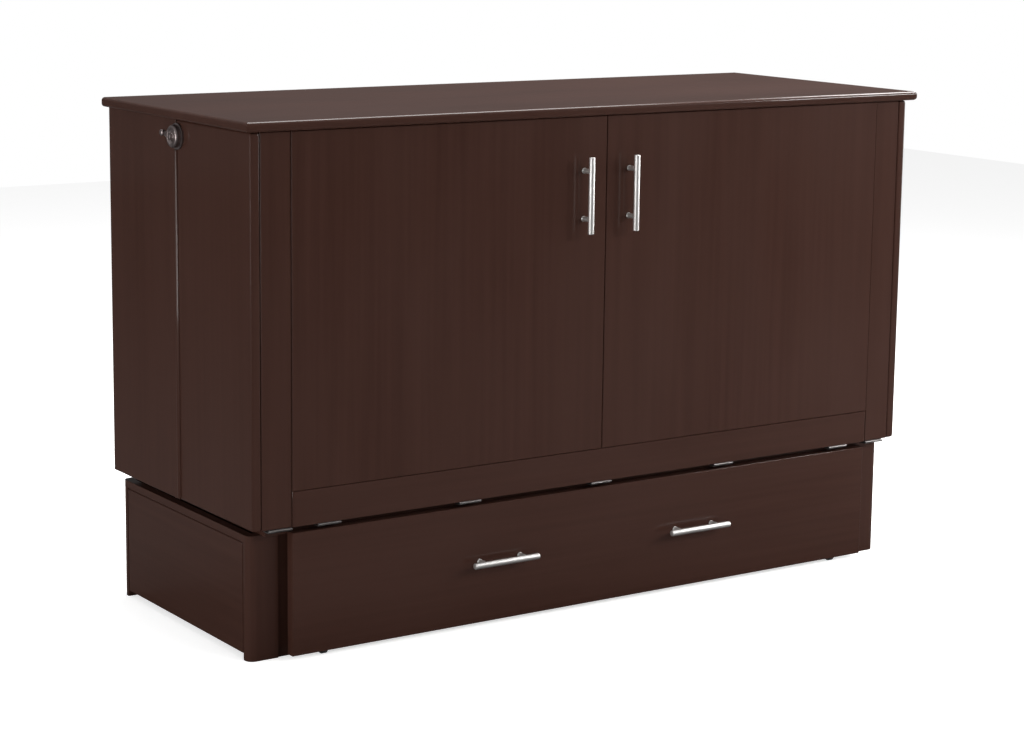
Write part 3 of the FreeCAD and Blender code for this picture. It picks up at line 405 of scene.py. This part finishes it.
# %% Metals and plastic
def metal(name, colour, rubbed, rough_low, rough_high, grain, depth):
    """Grain is the size of the marks in metres, and depth how deep they are."""
    material, tree, shader = new_finish(name, Metallic=1.0)
    marks = streaks(tree, "x", grain * 5, grain, 4.0, grain * 100)
    patches = streaks(tree, "x", 0.012, 0.012, 3.0, 7.0)
    link(tree, mixed(tree, between(tree, patches, 0, 1), colour, rubbed), shader.inputs["Base Color"])
    link(tree, between(tree, marks, rough_low, rough_high), shader.inputs["Roughness"])
    bumped(tree, shader, marks, depth, 0.3)
    return material


nickel = metal("satin_nickel_plate", (0.86, 0.84, 0.82), (0.91, 0.89, 0.87), 0.46, 0.56, 0.0004, 0.00003)
zinc = metal("zinc_plate", (0.19, 0.175, 0.172), (0.26, 0.245, 0.24), 0.40, 0.52, 0.0012, 0.00004)
bronze = metal("dark_bronze", (0.20, 0.162, 0.158), (0.33, 0.28, 0.275), 0.36, 0.50, 0.0018, 0.00008)

STEEL = ["lid_hinge_fixed_leaves", "lid_hinge_moving_leaves", "lid_hinge_pins", "front_hinge_fixed_leaves",
         "front_hinge_moving_leaves", "front_hinge_pins", "foot_deck_hinges", "foot_leg_brackets",
         "caster_brackets", "caster_axles", "door_pull_screws", "drawer_pull_screws"]
BRONZE = ["latch_base_left", "latch_base_right", "latch_keeper_left", "latch_keeper_right",
          "latch_cam_left", "latch_cam_right"]
NICKEL = ["door_pull_left", "door_pull_right", "drawer_pull_left", "drawer_pull_right"]
WHEELS = ["wheel_front_left", "wheel_front_right", "wheel_rear_left", "wheel_rear_right"]


def moulded_plastic():
    material, tree, shader = new_finish("black_nylon", Specular_IOR_Level=0.5)
    speckle = streaks(tree, "x", 0.0012, 0.0012, 2.0, 3.0)
    link(tree, mixed(tree, speckle, (0.016, 0.016, 0.017), (0.034, 0.033, 0.033)),
         shader.inputs["Base Color"])
    link(tree, between(tree, speckle, 0.42, 0.58), shader.inputs["Roughness"])
    bumped(tree, shader, speckle, 0.00006, 0.4)
    return material


nylon = moulded_plastic()
dress(STEEL, zinc)
dress(BRONZE, bronze)
dress(NICKEL, nickel)
dress(WHEELS, nylon)
print("metal pieces:", len(STEEL + BRONZE + NICKEL), "wheels:", len(WHEELS))


# %% [markdown]
# ## Eased edges
# No board leaves a workshop with a sharp edge: it is sanded to a radius of about a millimetre, and that
# radius catches the light as a thin bright line. The line is most of what the eye reads as a real board. A
# Bevel modifier makes it without touching the board's own mesh. The tilting half-sides are rounded more,
# since their upright edge is the corner that the hand and the light meet first. The board's triangles are
# separate, so a Weld has to come first, or the Bevel would find no shared edges.

# %% Ease the boards
EASED = [
    # radius in metres, steps, boards
    (0.0012, 3, ["rear_side_left", "rear_side_right", "base_side_left", "base_side_right", "base_deck",
                 "base_back", "cabinet_floor", "cabinet_back", "foot_deck", "drawer_side_left",
                 "drawer_side_right", "drawer_back", "bottom_rail"]),
    (0.0045, 5, ["front_side_left", "front_side_right"]),
    (0.0030, 5, ["foot_legs"]),
    (0.0004, 2, ["seam_strip_left", "seam_strip_right"]),
    (0.0006, 2, ["lid_hinge_fixed_leaves", "lid_hinge_moving_leaves", "foot_leg_brackets", "caster_brackets",
                 "wheel_front_left", "wheel_front_right", "wheel_rear_left", "wheel_rear_right"]),
]
WELD_DISTANCE = 1e-5
SHARP = math.radians(38)


def ease(piece, radius, steps):
    weld = piece.modifiers.new("weld", "WELD")
    weld.merge_threshold = WELD_DISTANCE
    bevel = piece.modifiers.new("eased_edges", "BEVEL")
    bevel.width = radius
    bevel.segments = steps
    bevel.limit_method = "ANGLE"
    bevel.angle_limit = SHARP
    return piece


for radius, steps, names in EASED:
    for name in names:
        ease(nodes[name], radius, steps)
    print(f"eased by {radius * 1000:.1f} mm:", len(names), "pieces")

# %% [markdown]
# ## Turned pieces
# The pulls and the latches are turned metal. A turned form is a half outline spun round an axis, so each is
# written as a short list of points: how far along the axis, how far from it, and how much the corner there is
# rounded. The rounded corners are what makes the metal catch a lamp.

# %% Helpers for pieces
SMOOTH_BELOW = math.radians(35)


def rounded(outline, steps=5):
    """Turns (distance, radius, rounding) points into a finer outline of (distance, radius) points."""
    finer = []
    for number, (distance, radius, rounding) in enumerate(outline):
        here = Vector((distance, radius))
        if rounding == 0 or number in (0, len(outline) - 1):
            finer.append(here)
            continue
        before = Vector(outline[number - 1][:2])
        after = Vector(outline[number + 1][:2])
        start = here + (before - here).normalized() * rounding
        end = here + (after - here).normalized() * rounding
        for step in range(steps + 1):
            t = step / steps
            finer.append(start * (1 - t) ** 2 + here * 2 * t * (1 - t) + end * t ** 2)
    return finer


def turned(bm, outline, place, axis, sides=56):
    """Adds a turned form to a mesh. Distance 0 of the outline lies at place, and it runs along axis."""
    frame_of_axis = Vector(axis).to_track_quat("Z", "X").to_matrix()
    rings = []
    for distance, radius in rounded(outline):
        angles = [math.tau * number / sides for number in range(sides)] if radius else [0]
        rings.append([bm.verts.new(Vector(place) + frame_of_axis @ Vector(
            (radius * math.cos(angle), radius * math.sin(angle), distance))) for angle in angles])
    for low, high in zip(rings, rings[1:]):
        for number in range(sides):
            around = [low[number % len(low)], low[(number + 1) % sides % len(low)],
                      high[(number + 1) % sides % len(high)], high[number % len(high)]]
            if len(set(around)) > 2:
                bm.faces.new(list(dict.fromkeys(around)))


def applied(piece):
    """The piece's mesh with its modifiers worked in."""
    depsgraph = bpy.context.evaluated_depsgraph_get()
    return bpy.data.meshes.new_from_object(piece.evaluated_get(depsgraph))


def finished(name, bm, material, body, slot, *stands_for):
    """Makes a mesh into a piece that rides on a body and replaces CAD nodes."""
    mesh = bpy.data.meshes.new(name)
    bmesh.ops.recalc_face_normals(bm, faces=bm.faces)
    bm.to_mesh(mesh)
    bm.free()
    mesh.materials.append(material)
    mesh.shade_smooth()
    mesh.set_sharp_from_angle(angle=SMOOTH_BELOW)
    piece = bpy.data.objects.new(name, mesh)
    bpy.context.scene.collection.objects.link(piece)
    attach(piece, body)
    if stands_for:
        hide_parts(*stands_for)
    return piece


# %% [markdown]
# ## Bar pulls
# Each pull is a satin bar on two posts, with its screws hidden behind the board. The frame's box of the pull
# tells which way it lies and how long it is, so one function serves the two upright and the two level ones.

# %% Bar pulls
BAR_RADIUS = 0.006
BAR_END = 0.0014          # rounding of the bar's ends
POST_CENTRES = 0.096
POST_OUTLINE = [(0.0, 0.0, 0), (0.0, 0.0058, 0), (0.0014, 0.0058, 0.0005), (0.0022, 0.0049, 0.0004),
                (0.0215, 0.0049, 0), (0.0255, 0.0043, 0)]


def bar_pull(node, body):
    low, high = (Vector(corner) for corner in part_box(node))
    size = high - low
    along = 0 if size.x > size.z else 2
    middle = (low + high) / 2
    bar_y = low.y + BAR_RADIUS
    bm = bmesh.new()
    start = Vector((middle.x, bar_y, middle.z))
    start[along] = low[along]
    way = Vector((0, 0, 0))
    way[along] = 1
    length = size[along]
    bar = [(0, 0, 0), (0, BAR_RADIUS, BAR_END), (length, BAR_RADIUS, BAR_END), (length, 0, 0)]
    turned(bm, bar, start, way)
    for sign in (-1, 1):
        foot = Vector((middle.x, high.y, middle.z)) + way * sign * POST_CENTRES / 2
        turned(bm, POST_OUTLINE, foot, (0, -1, 0), 40)
    return finished(f"{node}_turned", bm, nickel, body, "satin_nickel", node)


for node, body in (("door_pull_left", "front"), ("door_pull_right", "front"),
                   ("drawer_pull_left", "drawer"), ("drawer_pull_right", "drawer")):
    print("pull:", bar_pull(node, body).name)


# %% [markdown]
# ## Side latches
# A round latch sits over the top of each side seam. Its disc has a raised bead round a shallow dish, a domed
# rivet in the middle, and a lever that ends in a knob. The pivot is the latch's joint in the frame's record.

# %% Latches
DISC_OUTLINE = [(0.0, 0.0036, 0), (0.0, 0.0213, 0.0004), (0.0010, 0.0220, 0.0006), (0.0078, 0.0220, 0.0022),
                (0.0110, 0.0194, 0.0018), (0.0110, 0.0160, 0.0014), (0.0072, 0.0128, 0.0014),
                (0.0072, 0.0098, 0.0006), (0.0104, 0.0088, 0.0008), (0.0104, 0.0036, 0.0003),
                (0.0, 0.0036, 0)]
DOME_OUTLINE = [(-0.0004, 0.0, 0), (-0.0004, 0.0072, 0.0002), (0.0012, 0.0072, 0.0012),
                (0.0036, 0.0044, 0.0022), (0.0044, 0.0, 0)]
KNOB_OUTLINE = [(0.0, 0.0, 0), (0.0, 0.0052, 0.0003), (0.0046, 0.0042, 0.0012), (0.0064, 0.0064, 0.0016),
                (0.0084, 0.0066, 0.0014), (0.0102, 0.0040, 0.0014), (0.0104, 0.0, 0)]
DISC_INWARD, DOME_INWARD, KNOB_INWARD = 0.0044, 0.0154, 0.0102    # where each begins, out from the side
LEVER_REACH, LEVER_RISE = 0.034, 0.005
LEVER_MIDDLE, LEVER_SIZE = (0.0129, 0.0245, 0.0036), (0.0044, 0.0170, 0.0110)    # outwards, back, up
LEVER_SLOPE = 0.0024     # how much higher its outer end lies


def pivot_of(joint_name):
    joints = frame["record"]["behaviour"]["joints"]
    return Vector(next(joint["pos_m"] for joint in joints if joint["name"] == joint_name))


def latch(side, sign):
    pivot = pivot_of(f"latch_{side}_turn")
    out = Vector((sign, 0, 0))
    bm = bmesh.new()
    turned(bm, DISC_OUTLINE, pivot + out * DISC_INWARD, out, 72)
    reach = Vector((0, LEVER_REACH, LEVER_RISE))
    turned(bm, KNOB_OUTLINE, pivot + out * KNOB_INWARD + reach, out, 40)
    lever = bmesh.ops.create_cube(bm, size=1)["verts"]
    for vert in lever:
        narrow = 1.0 if vert.co.y < 0 else 0.78
        outward, back, up = (middle + vert.co[k] * size
                             for k, (middle, size) in enumerate(zip(LEVER_MIDDLE, LEVER_SIZE)))
        up = LEVER_MIDDLE[2] + (up - LEVER_MIDDLE[2]) * narrow + vert.co.y * LEVER_SLOPE
        vert.co = pivot + Vector((sign * outward, back, up))
    edges = list({edge for vert in lever for edge in vert.link_edges})
    bmesh.ops.bevel(bm, geom=edges, offset=0.0009, segments=3, affect="EDGES", profile=0.5)
    disc = finished(f"latch_{side}_disc", bm, bronze, f"latch_{side}", "antique_bronze", f"latch_cam_{side}")
    bm = bmesh.new()
    turned(bm, DOME_OUTLINE, pivot + out * DOME_INWARD, out, 40)
    dome = finished(f"latch_{side}_rivet_dome", bm, bronze, "front", "antique_bronze")
    return disc, dome


for side, sign in (("left", -1), ("right", 1)):
    print("latch:", [piece.name for piece in latch(side, sign)])


# %% [markdown]
# ## Hinge screws
# Fifty-two small screws hold the hinges. They are all alike, so one head is modelled and Geometry Nodes
# sets it on a cloud of points. Each point carries the direction that its screw faces, and a seeded random
# turn makes the crosses stand at odd angles, as a screwdriver leaves them.

# %% One screw head
HEAD_RADIUS = 0.0031
HEAD_RISE = 0.0005
CROSS_REACH, CROSS_HALF, CROSS_DEEP = 0.0017, 0.0005, 0.0008
HEAD_SIDES = 32


def cross_edge(angle):
    """How far from the middle the edge of a cross lies, in one direction."""
    from_arm = (angle + math.pi / 4) % (math.pi / 2) - math.pi / 4
    return min(CROSS_REACH / math.cos(from_arm), CROSS_HALF / max(abs(math.sin(from_arm)), 1e-6))


def screw_head():
    angles = [math.tau * number / HEAD_SIDES for number in range(HEAD_SIDES)]
    rims = [([HEAD_RADIUS] * HEAD_SIDES, 0.0), ([HEAD_RADIUS * 0.8] * HEAD_SIDES, HEAD_RISE * 0.8),
            ([cross_edge(angle) for angle in angles], HEAD_RISE),
            ([cross_edge(angle) * 0.7 for angle in angles], HEAD_RISE - CROSS_DEEP)]
    bm = bmesh.new()
    rings = [[bm.verts.new((radius * math.cos(angle), radius * math.sin(angle), level))
              for radius, angle in zip(radii, angles)] for radii, level in rims]
    for outer, inner in zip(rings, rings[1:]):
        for number in range(HEAD_SIDES):
            after = (number + 1) % HEAD_SIDES
            bm.faces.new([outer[number], outer[after], inner[after], inner[number]])
    bm.faces.new(rings[-1])
    bm.faces.new(rings[0][::-1])
    mesh = bpy.data.meshes.new("screw_head")
    bm.to_mesh(mesh)
    bm.free()
    head = bpy.data.objects.new("screw_head", mesh)
    bpy.context.scene.collection.objects.link(head)
    return head


# %% [markdown]
# The node group takes a point cloud and the head. It turns each head to face along the point's own direction,
# spins it by a seeded random angle about that direction, and ends in real geometry, because an instance
# would be lost when the model is exported.

# %% The node group that sets the screws
def screw_setter():
    group = bpy.data.node_groups.new("set_screws", "GeometryNodeTree")
    for name, kind in (("Geometry", "Geometry"), ("Screw", "Object"), ("Finish", "Material"),
                       ("Seed", "Int")):
        group.interface.new_socket(name, in_out="INPUT", socket_type=f"NodeSocket{kind}")
    group.interface.new_socket("Geometry", in_out="OUTPUT", socket_type="NodeSocketGeometry")
    made = {name: group.nodes.new(kind) for name, kind in (
        ("given", "NodeGroupInput"), ("screw", "GeometryNodeObjectInfo"),
        ("facing", "GeometryNodeInputNamedAttribute"), ("align", "FunctionNodeAlignRotationToVector"),
        ("chance", "FunctionNodeRandomValue"), ("spin", "FunctionNodeAxisAngleToRotation"),
        ("turn", "FunctionNodeRotateRotation"), ("place", "GeometryNodeInstanceOnPoints"),
        ("realize", "GeometryNodeRealizeInstances"), ("paint", "GeometryNodeSetMaterial"),
        ("result", "NodeGroupOutput"))}
    made["facing"].data_type = "FLOAT_VECTOR"
    made["facing"].inputs["Name"].default_value = "facing"
    made["align"].axis = "Z"
    made["chance"].data_type = "FLOAT"
    made["chance"].inputs[3].default_value = math.tau
    made["spin"].inputs["Axis"].default_value = (0, 0, 1)
    made["turn"].rotation_space = "LOCAL"
    wires = [("given", "Geometry", "place", "Points"), ("given", "Screw", "screw", "Object"),
             ("screw", "Geometry", "place", "Instance"), ("facing", "Attribute", "align", "Vector"),
             ("given", "Seed", "chance", "Seed"), ("align", "Rotation", "turn", "Rotation"),
             ("spin", "Rotation", "turn", "Rotate By"), ("turn", "Rotation", "place", "Rotation"),
             ("place", "Instances", "realize", "Geometry"), ("realize", "Geometry", "paint", "Geometry"),
             ("given", "Finish", "paint", "Material"), ("paint", "Geometry", "result", "Geometry")]
    for start, output, end, socket in wires:
        group.links.new(made[start].outputs[output], made[end].inputs[socket])
    group.links.new(made["chance"].outputs[1], made["spin"].inputs["Angle"])
    return group


# %% [markdown]
# The leaves of the hinges are separate solids in one node, so the script finds each solid's corners, and
# sets the screws at fixed distances from them: three on each lid leaf and two on each front leaf.

# %% Set the screws on every leaf
HEAD = screw_head()
SETTER = screw_setter()
SCREW_SEED = 7


def leaf_boxes(node):
    """The lowest and highest corners of each separate solid in a node."""
    bm = bmesh.new()
    bm.from_mesh(nodes[node].data)
    bmesh.ops.remove_doubles(bm, verts=bm.verts[:], dist=WELD_DISTANCE)
    waiting = set(bm.verts)
    boxes = []
    while waiting:
        found, edge_of_search = [], [waiting.pop()]
        while edge_of_search:
            vert = edge_of_search.pop()
            found.append(vert.co.copy())
            for edge in vert.link_edges:
                other = edge.other_vert(vert)
                if other in waiting:
                    waiting.remove(other)
                    edge_of_search.append(other)
        boxes.append([Vector([pick(point[k] for point in found) for k in range(3)]) for pick in (min, max)])
    bm.free()
    return boxes


def set_screws(name, places, body):
    """Places are pairs of a point and the direction that the screw's head faces."""
    mesh = bpy.data.meshes.new(name)
    mesh.from_pydata([point for point, _ in places], [], [])
    facing = mesh.attributes.new("facing", "FLOAT_VECTOR", "POINT")
    facing.data.foreach_set("vector", [number for _, way in places for number in way])
    cloud = bpy.data.objects.new(f"{name}_points", mesh)
    bpy.context.scene.collection.objects.link(cloud)
    setter = cloud.modifiers.new("set_screws", "NODES")
    setter.node_group = SETTER
    sockets = {item.name: item.identifier for item in SETTER.interface.items_tree if item.in_out == "INPUT"}
    setter[sockets["Screw"]] = HEAD
    setter[sockets["Finish"]] = zinc
    setter[sockets["Seed"]] = SCREW_SEED
    bm = bmesh.new()
    bm.from_mesh(applied(cloud))
    bpy.data.objects.remove(cloud)
    return finished(name, bm, zinc, body, "hinge_steel")


def row_of_screws(boxes, offsets, y, z, facing):
    """Screws at offsets along x from each leaf's middle; y and z are functions of the leaf's corners."""
    return [(((low.x + high.x) / 2 + offset, y(low, high), z(low, high)), facing)
            for low, high in boxes for offset in offsets]


BACK, UP, DOWN = (0, 1, 0), (0, 0, 1), (0, 0, -1)
LID_OFFSETS, FRONT_OFFSETS = (-0.022, 0.0, 0.022), (-0.018, 0.018)
LID_LEAF, FRONT_LEAF = 0.002, 0.0015    # thickness of a leaf
LID_FIXED_RISE, LID_MOVING_DROP = 0.014, 0.0055    # screws from the leaf's lower or upper edge
FRONT_FIXED_SET, FRONT_MOVING_SET = 0.010, 0.009    # screws from the leaf's back edge
fixed_lid, moving_lid = leaf_boxes("lid_hinge_fixed_leaves"), leaf_boxes("lid_hinge_moving_leaves")
fixed_front, moving_front = leaf_boxes("front_hinge_fixed_leaves"), leaf_boxes("front_hinge_moving_leaves")
cabinet_screws = row_of_screws(fixed_lid, LID_OFFSETS, lambda low, high: low.y + LID_LEAF,
                               lambda low, high: low.z + LID_FIXED_RISE, BACK)
cabinet_screws += row_of_screws(fixed_front, FRONT_OFFSETS, lambda low, high: high.y - FRONT_FIXED_SET,
                                lambda low, high: low.z + FRONT_LEAF, UP)
lid_screws = row_of_screws(moving_lid, LID_OFFSETS, lambda low, high: low.y + LID_LEAF,
                           lambda low, high: high.z - LID_MOVING_DROP, BACK)
front_screws = row_of_screws(moving_front, FRONT_OFFSETS, lambda low, high: high.y - FRONT_MOVING_SET,
                             lambda low, high: high.z - FRONT_LEAF, DOWN)
for name, places, body in (("hinge_screws_cabinet", cabinet_screws, "cabinet"),
                           ("hinge_screws_lid", lid_screws, "lid"),
                           ("hinge_screws_front", front_screws, "front")):
    print(name, len(places), set_screws(name, places, body).name)
bpy.data.objects.remove(HEAD)


# %% [markdown]
# ## The mattress
# Behind the front, the mattress stands folded in three. Each section is foam in a quilted cover: its broad
# faces swell a little, its borders pull in between the two corded seams, and sewn lines cross the faces. A
# cloth simulation blows one slightly small block up to give the swell and the pull-in, and the sewn lines
# are pressed in after it, because they are finer than the simulation's mesh.

# %% Swell one section
SHRINK = 0.005           # how much smaller the block is than the space, on every side
VOXEL = 0.012
SWELL_CAP = 0.010        # the most that a point may move
PRESSURE = 4.0
SIM_FRAMES = 20
CORNER_ROUND = 0.024
SECTIONS = ["mattress_front", "mattress_middle", "mattress_rear"]


def start_block(size):
    """A block round its own middle, with rounded corners, a little smaller than the space."""
    bm = bmesh.new()
    bmesh.ops.create_cube(bm, size=1)
    for vert in bm.verts:
        vert.co = Vector([vert.co[k] * (size[k] - 2 * SHRINK) for k in range(3)])
    bmesh.ops.bevel(bm, geom=bm.edges[:], offset=CORNER_ROUND, segments=5, affect="EDGES", profile=0.5)
    mesh = bpy.data.meshes.new("mattress_block")
    bm.to_mesh(mesh)
    bm.free()
    block = bpy.data.objects.new("mattress_block", mesh)
    bpy.context.scene.collection.objects.link(block)
    return block


def swollen(block):
    """Remeshes a block finely and blows it up like a padded cover."""
    remesh = block.modifiers.new("remesh", "REMESH")
    remesh.mode = "VOXEL"
    remesh.voxel_size = VOXEL
    fine = applied(block)
    block.modifiers.clear()
    block.data = fine
    rest = np.empty(len(fine.vertices) * 3)
    fine.vertices.foreach_get("co", rest)
    cloth = block.modifiers.new("cloth", "CLOTH")
    cloth.settings.use_pressure = True
    cloth.settings.uniform_pressure_force = PRESSURE
    cloth.settings.effector_weights.gravity = 0
    scene = bpy.context.scene
    for number in range(1, SIM_FRAMES + 1):
        scene.frame_set(number)
    blown = applied(block)
    block.modifiers.clear()
    scene.frame_set(1)
    moved = np.empty(len(blown.vertices) * 3)
    blown.vertices.foreach_get("co", moved)
    rest, moved = rest.reshape(-1, 3), moved.reshape(-1, 3)
    step = moved - rest
    length = np.linalg.norm(step, axis=1, keepdims=True)
    return rest + step * np.minimum(1, SWELL_CAP / np.maximum(length, 1e-9))


def swollen_section():
    low, high = (Vector(corner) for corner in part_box(SECTIONS[0]))
    block = start_block(high - low)
    points = swollen(block)
    block.data.vertices.foreach_set("co", points.ravel())
    block.modifiers.new("finer", "SUBSURF").levels = 1
    mesh = applied(block)
    bpy.data.objects.remove(block)
    return mesh, high - low


section_mesh, section_size = swollen_section()
print("mattress section:", len(section_mesh.vertices), "points, size", [round(v, 3) for v in section_size])


# %% [markdown]
# Now the needlework. Each broad face gets upright sewn lines, every 127 mm, that pull the cover into the
# foam, and the four borders draw in by a few millimetres between the corners. Numpy moves all points at
# once, by a formula of their place: the closer to a line, the deeper.

# %% Sew the lines and draw the borders in
LINE_PITCH = 0.127
LINE_DEPTH = 0.0045
LINE_HALF_WIDTH = 0.009
DRAW_IN = 0.006          # borders, half way between the corners
FOOT_FLAT = 0.006        # the lowest part rests flat on the cabinet's floor
FACE_SHARE = 0.80        # how squarely a point must face front or back to be on a broad face


def sewn(mesh, size):
    """Moves the points of one section, which stands round its own middle."""
    count = len(mesh.vertices)
    points, normals = np.empty(count * 3), np.empty(count * 3)
    mesh.vertices.foreach_get("co", points)
    mesh.vertices.foreach_get("normal", normals)
    points, normals = points.reshape(-1, 3), normals.reshape(-1, 3)
    half = np.array(size) / 2
    on_face = np.clip((np.abs(normals[:, 1]) - FACE_SHARE) / (1 - FACE_SHARE), 0, 1)
    from_line = np.abs((points[:, 0] + LINE_PITCH / 2) % LINE_PITCH - LINE_PITCH / 2)
    dip = LINE_DEPTH * np.exp(-(from_line / LINE_HALF_WIDTH) ** 2) * on_face
    points[:, 1] -= np.sign(points[:, 1]) * dip
    across = np.clip(1 - (points[:, 0] / half[0]) ** 2, 0, 1)
    upward = np.clip(1 - (points[:, 2] / half[2]) ** 2, 0, 1)
    points[:, 0] -= np.sign(points[:, 0]) * DRAW_IN * upward * np.abs(points[:, 0] / half[0]) ** 6
    above = points[:, 2] > 0
    points[above, 2] -= DRAW_IN * across[above] * (points[above, 2] / half[2]) ** 6
    points[:, 2] = np.maximum(points[:, 2], -half[2] + FOOT_FLAT) - FOOT_FLAT
    points = np.clip(points, -half, half)
    mesh.vertices.foreach_set("co", points.ravel())
    mesh.update()


sewn(section_mesh, section_size)
print("sewn lines on each face:", int(section_size.x / LINE_PITCH))


# %% [markdown]
# The cover is ticking, a pale knitted cloth with a thin grey-blue stripe. The stripes repeat four times
# between two sewn lines, and a Voronoi bump gives the knit. Its sheen makes the cloth brighter where it
# turns away.

# %% Ticking, the mattress cover's cloth
TICKING_PALE = (0.80, 0.78, 0.73)
TICKING_SHADE = (0.70, 0.675, 0.62)
TICKING_STRIPE = (0.52, 0.56, 0.60)
STRIPE_PITCH = 0.0318    # four stripes between two sewn lines
STRIPE_WIDTH = 0.0024
KNIT = 0.0011


def ticking():
    material, tree, shader = new_finish("mattress_ticking", Roughness=0.9, Specular_IOR_Level=0.25,
                                        Sheen_Weight=0.25, Sheen_Roughness=0.5)
    coords = tree.nodes.new("ShaderNodeTexCoord")
    split = tree.nodes.new("ShaderNodeSeparateXYZ")
    link(tree, coords.outputs["Object"], split.inputs[0])
    across = tree.nodes.new("ShaderNodeMath")
    across.operation = "PINGPONG"
    across.inputs[1].default_value = STRIPE_PITCH / 2
    link(tree, split.outputs["X"], across.inputs[0])
    stripe = between(tree, across.outputs[0], 1, 0, STRIPE_WIDTH * 0.35, STRIPE_WIDTH * 0.5)
    cloudy = streaks(tree, "z", 0.05, 0.03, 4.0, 2.0)
    cloth = mixed(tree, between(tree, cloudy, 0, 1), TICKING_PALE, TICKING_SHADE)
    link(tree, mixed(tree, stripe, cloth, TICKING_STRIPE), shader.inputs["Base Color"])
    knit = tree.nodes.new("ShaderNodeTexVoronoi")
    knit.inputs["Scale"].default_value = 1 / KNIT
    link(tree, coords.outputs["Object"], knit.inputs["Vector"])
    bumped(tree, shader, knit.outputs["Distance"], 0.0003, 0.6)
    return material


cover = ticking()
print("cover:", cover.name)


# %% [markdown]
# The three sections stand one behind the other. Each is a copy of the sewn section, moved in its own mesh, so
# that the object stays at the origin. A cord covers each seam: rays shot inwards from around the section find
# the border, and a curve with a round profile runs through the points that they hit.

# %% Stand the three sections in their places, with corded seams
SEAM_INSET = 0.013       # the corded seam, in from each broad face
CORD_RADIUS = 0.0028
CORD_POINTS = 220


def corded_seam(name, mesh, size, middle, level):
    """A cord that lies round the section's border, at a level of its thickness."""
    surface = BVHTree.FromPolygons([vert.co for vert in mesh.vertices],
                                   [tuple(face.vertices) for face in mesh.polygons])
    curve = bpy.data.curves.new(name, "CURVE")
    curve.dimensions = "3D"
    curve.bevel_depth = CORD_RADIUS
    curve.bevel_resolution = 2
    spline = curve.splines.new("POLY")
    spline.points.add(CORD_POINTS - 1)
    for number in range(CORD_POINTS):
        angle = math.tau * number / CORD_POINTS
        way = Vector((math.cos(angle) * size.x, 0, math.sin(angle) * size.z))
        hit = surface.ray_cast(Vector((0, level, 0)) + way * 2, -way)[0]
        spline.points[number].co = (*(hit + middle), 1)
    spline.use_cyclic_u = True
    cord = bpy.data.objects.new(name, curve)
    bpy.context.scene.collection.objects.link(cord)
    bm = bmesh.new()
    bm.from_mesh(applied(cord))
    bpy.data.objects.remove(cord)
    return finished(name, bm, cover, "cabinet", "mattress_cover")


def stand_section(node):
    low, high = (Vector(corner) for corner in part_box(node))
    middle = (low + high) / 2
    mesh = section_mesh.copy()
    mesh.transform(Matrix.Translation(middle))
    mesh.materials.clear()
    mesh.materials.append(cover)
    mesh.shade_smooth()
    piece = bpy.data.objects.new(f"{node}_quilted", mesh)
    bpy.context.scene.collection.objects.link(piece)
    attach(piece, "cabinet")
    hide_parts(node)
    level = section_size.y / 2 - SEAM_INSET
    for face, sign in (("front", -1), ("back", 1)):
        corded_seam(f"{node}_{face}_cord", section_mesh, section_size, middle, sign * level)
    return piece


for node in SECTIONS:
    print("mattress:", stand_section(node).name)

# %% A helper that lists a box's two corners
def corners(bounds):
    return [list(bounds[0]), list(bounds[1])]
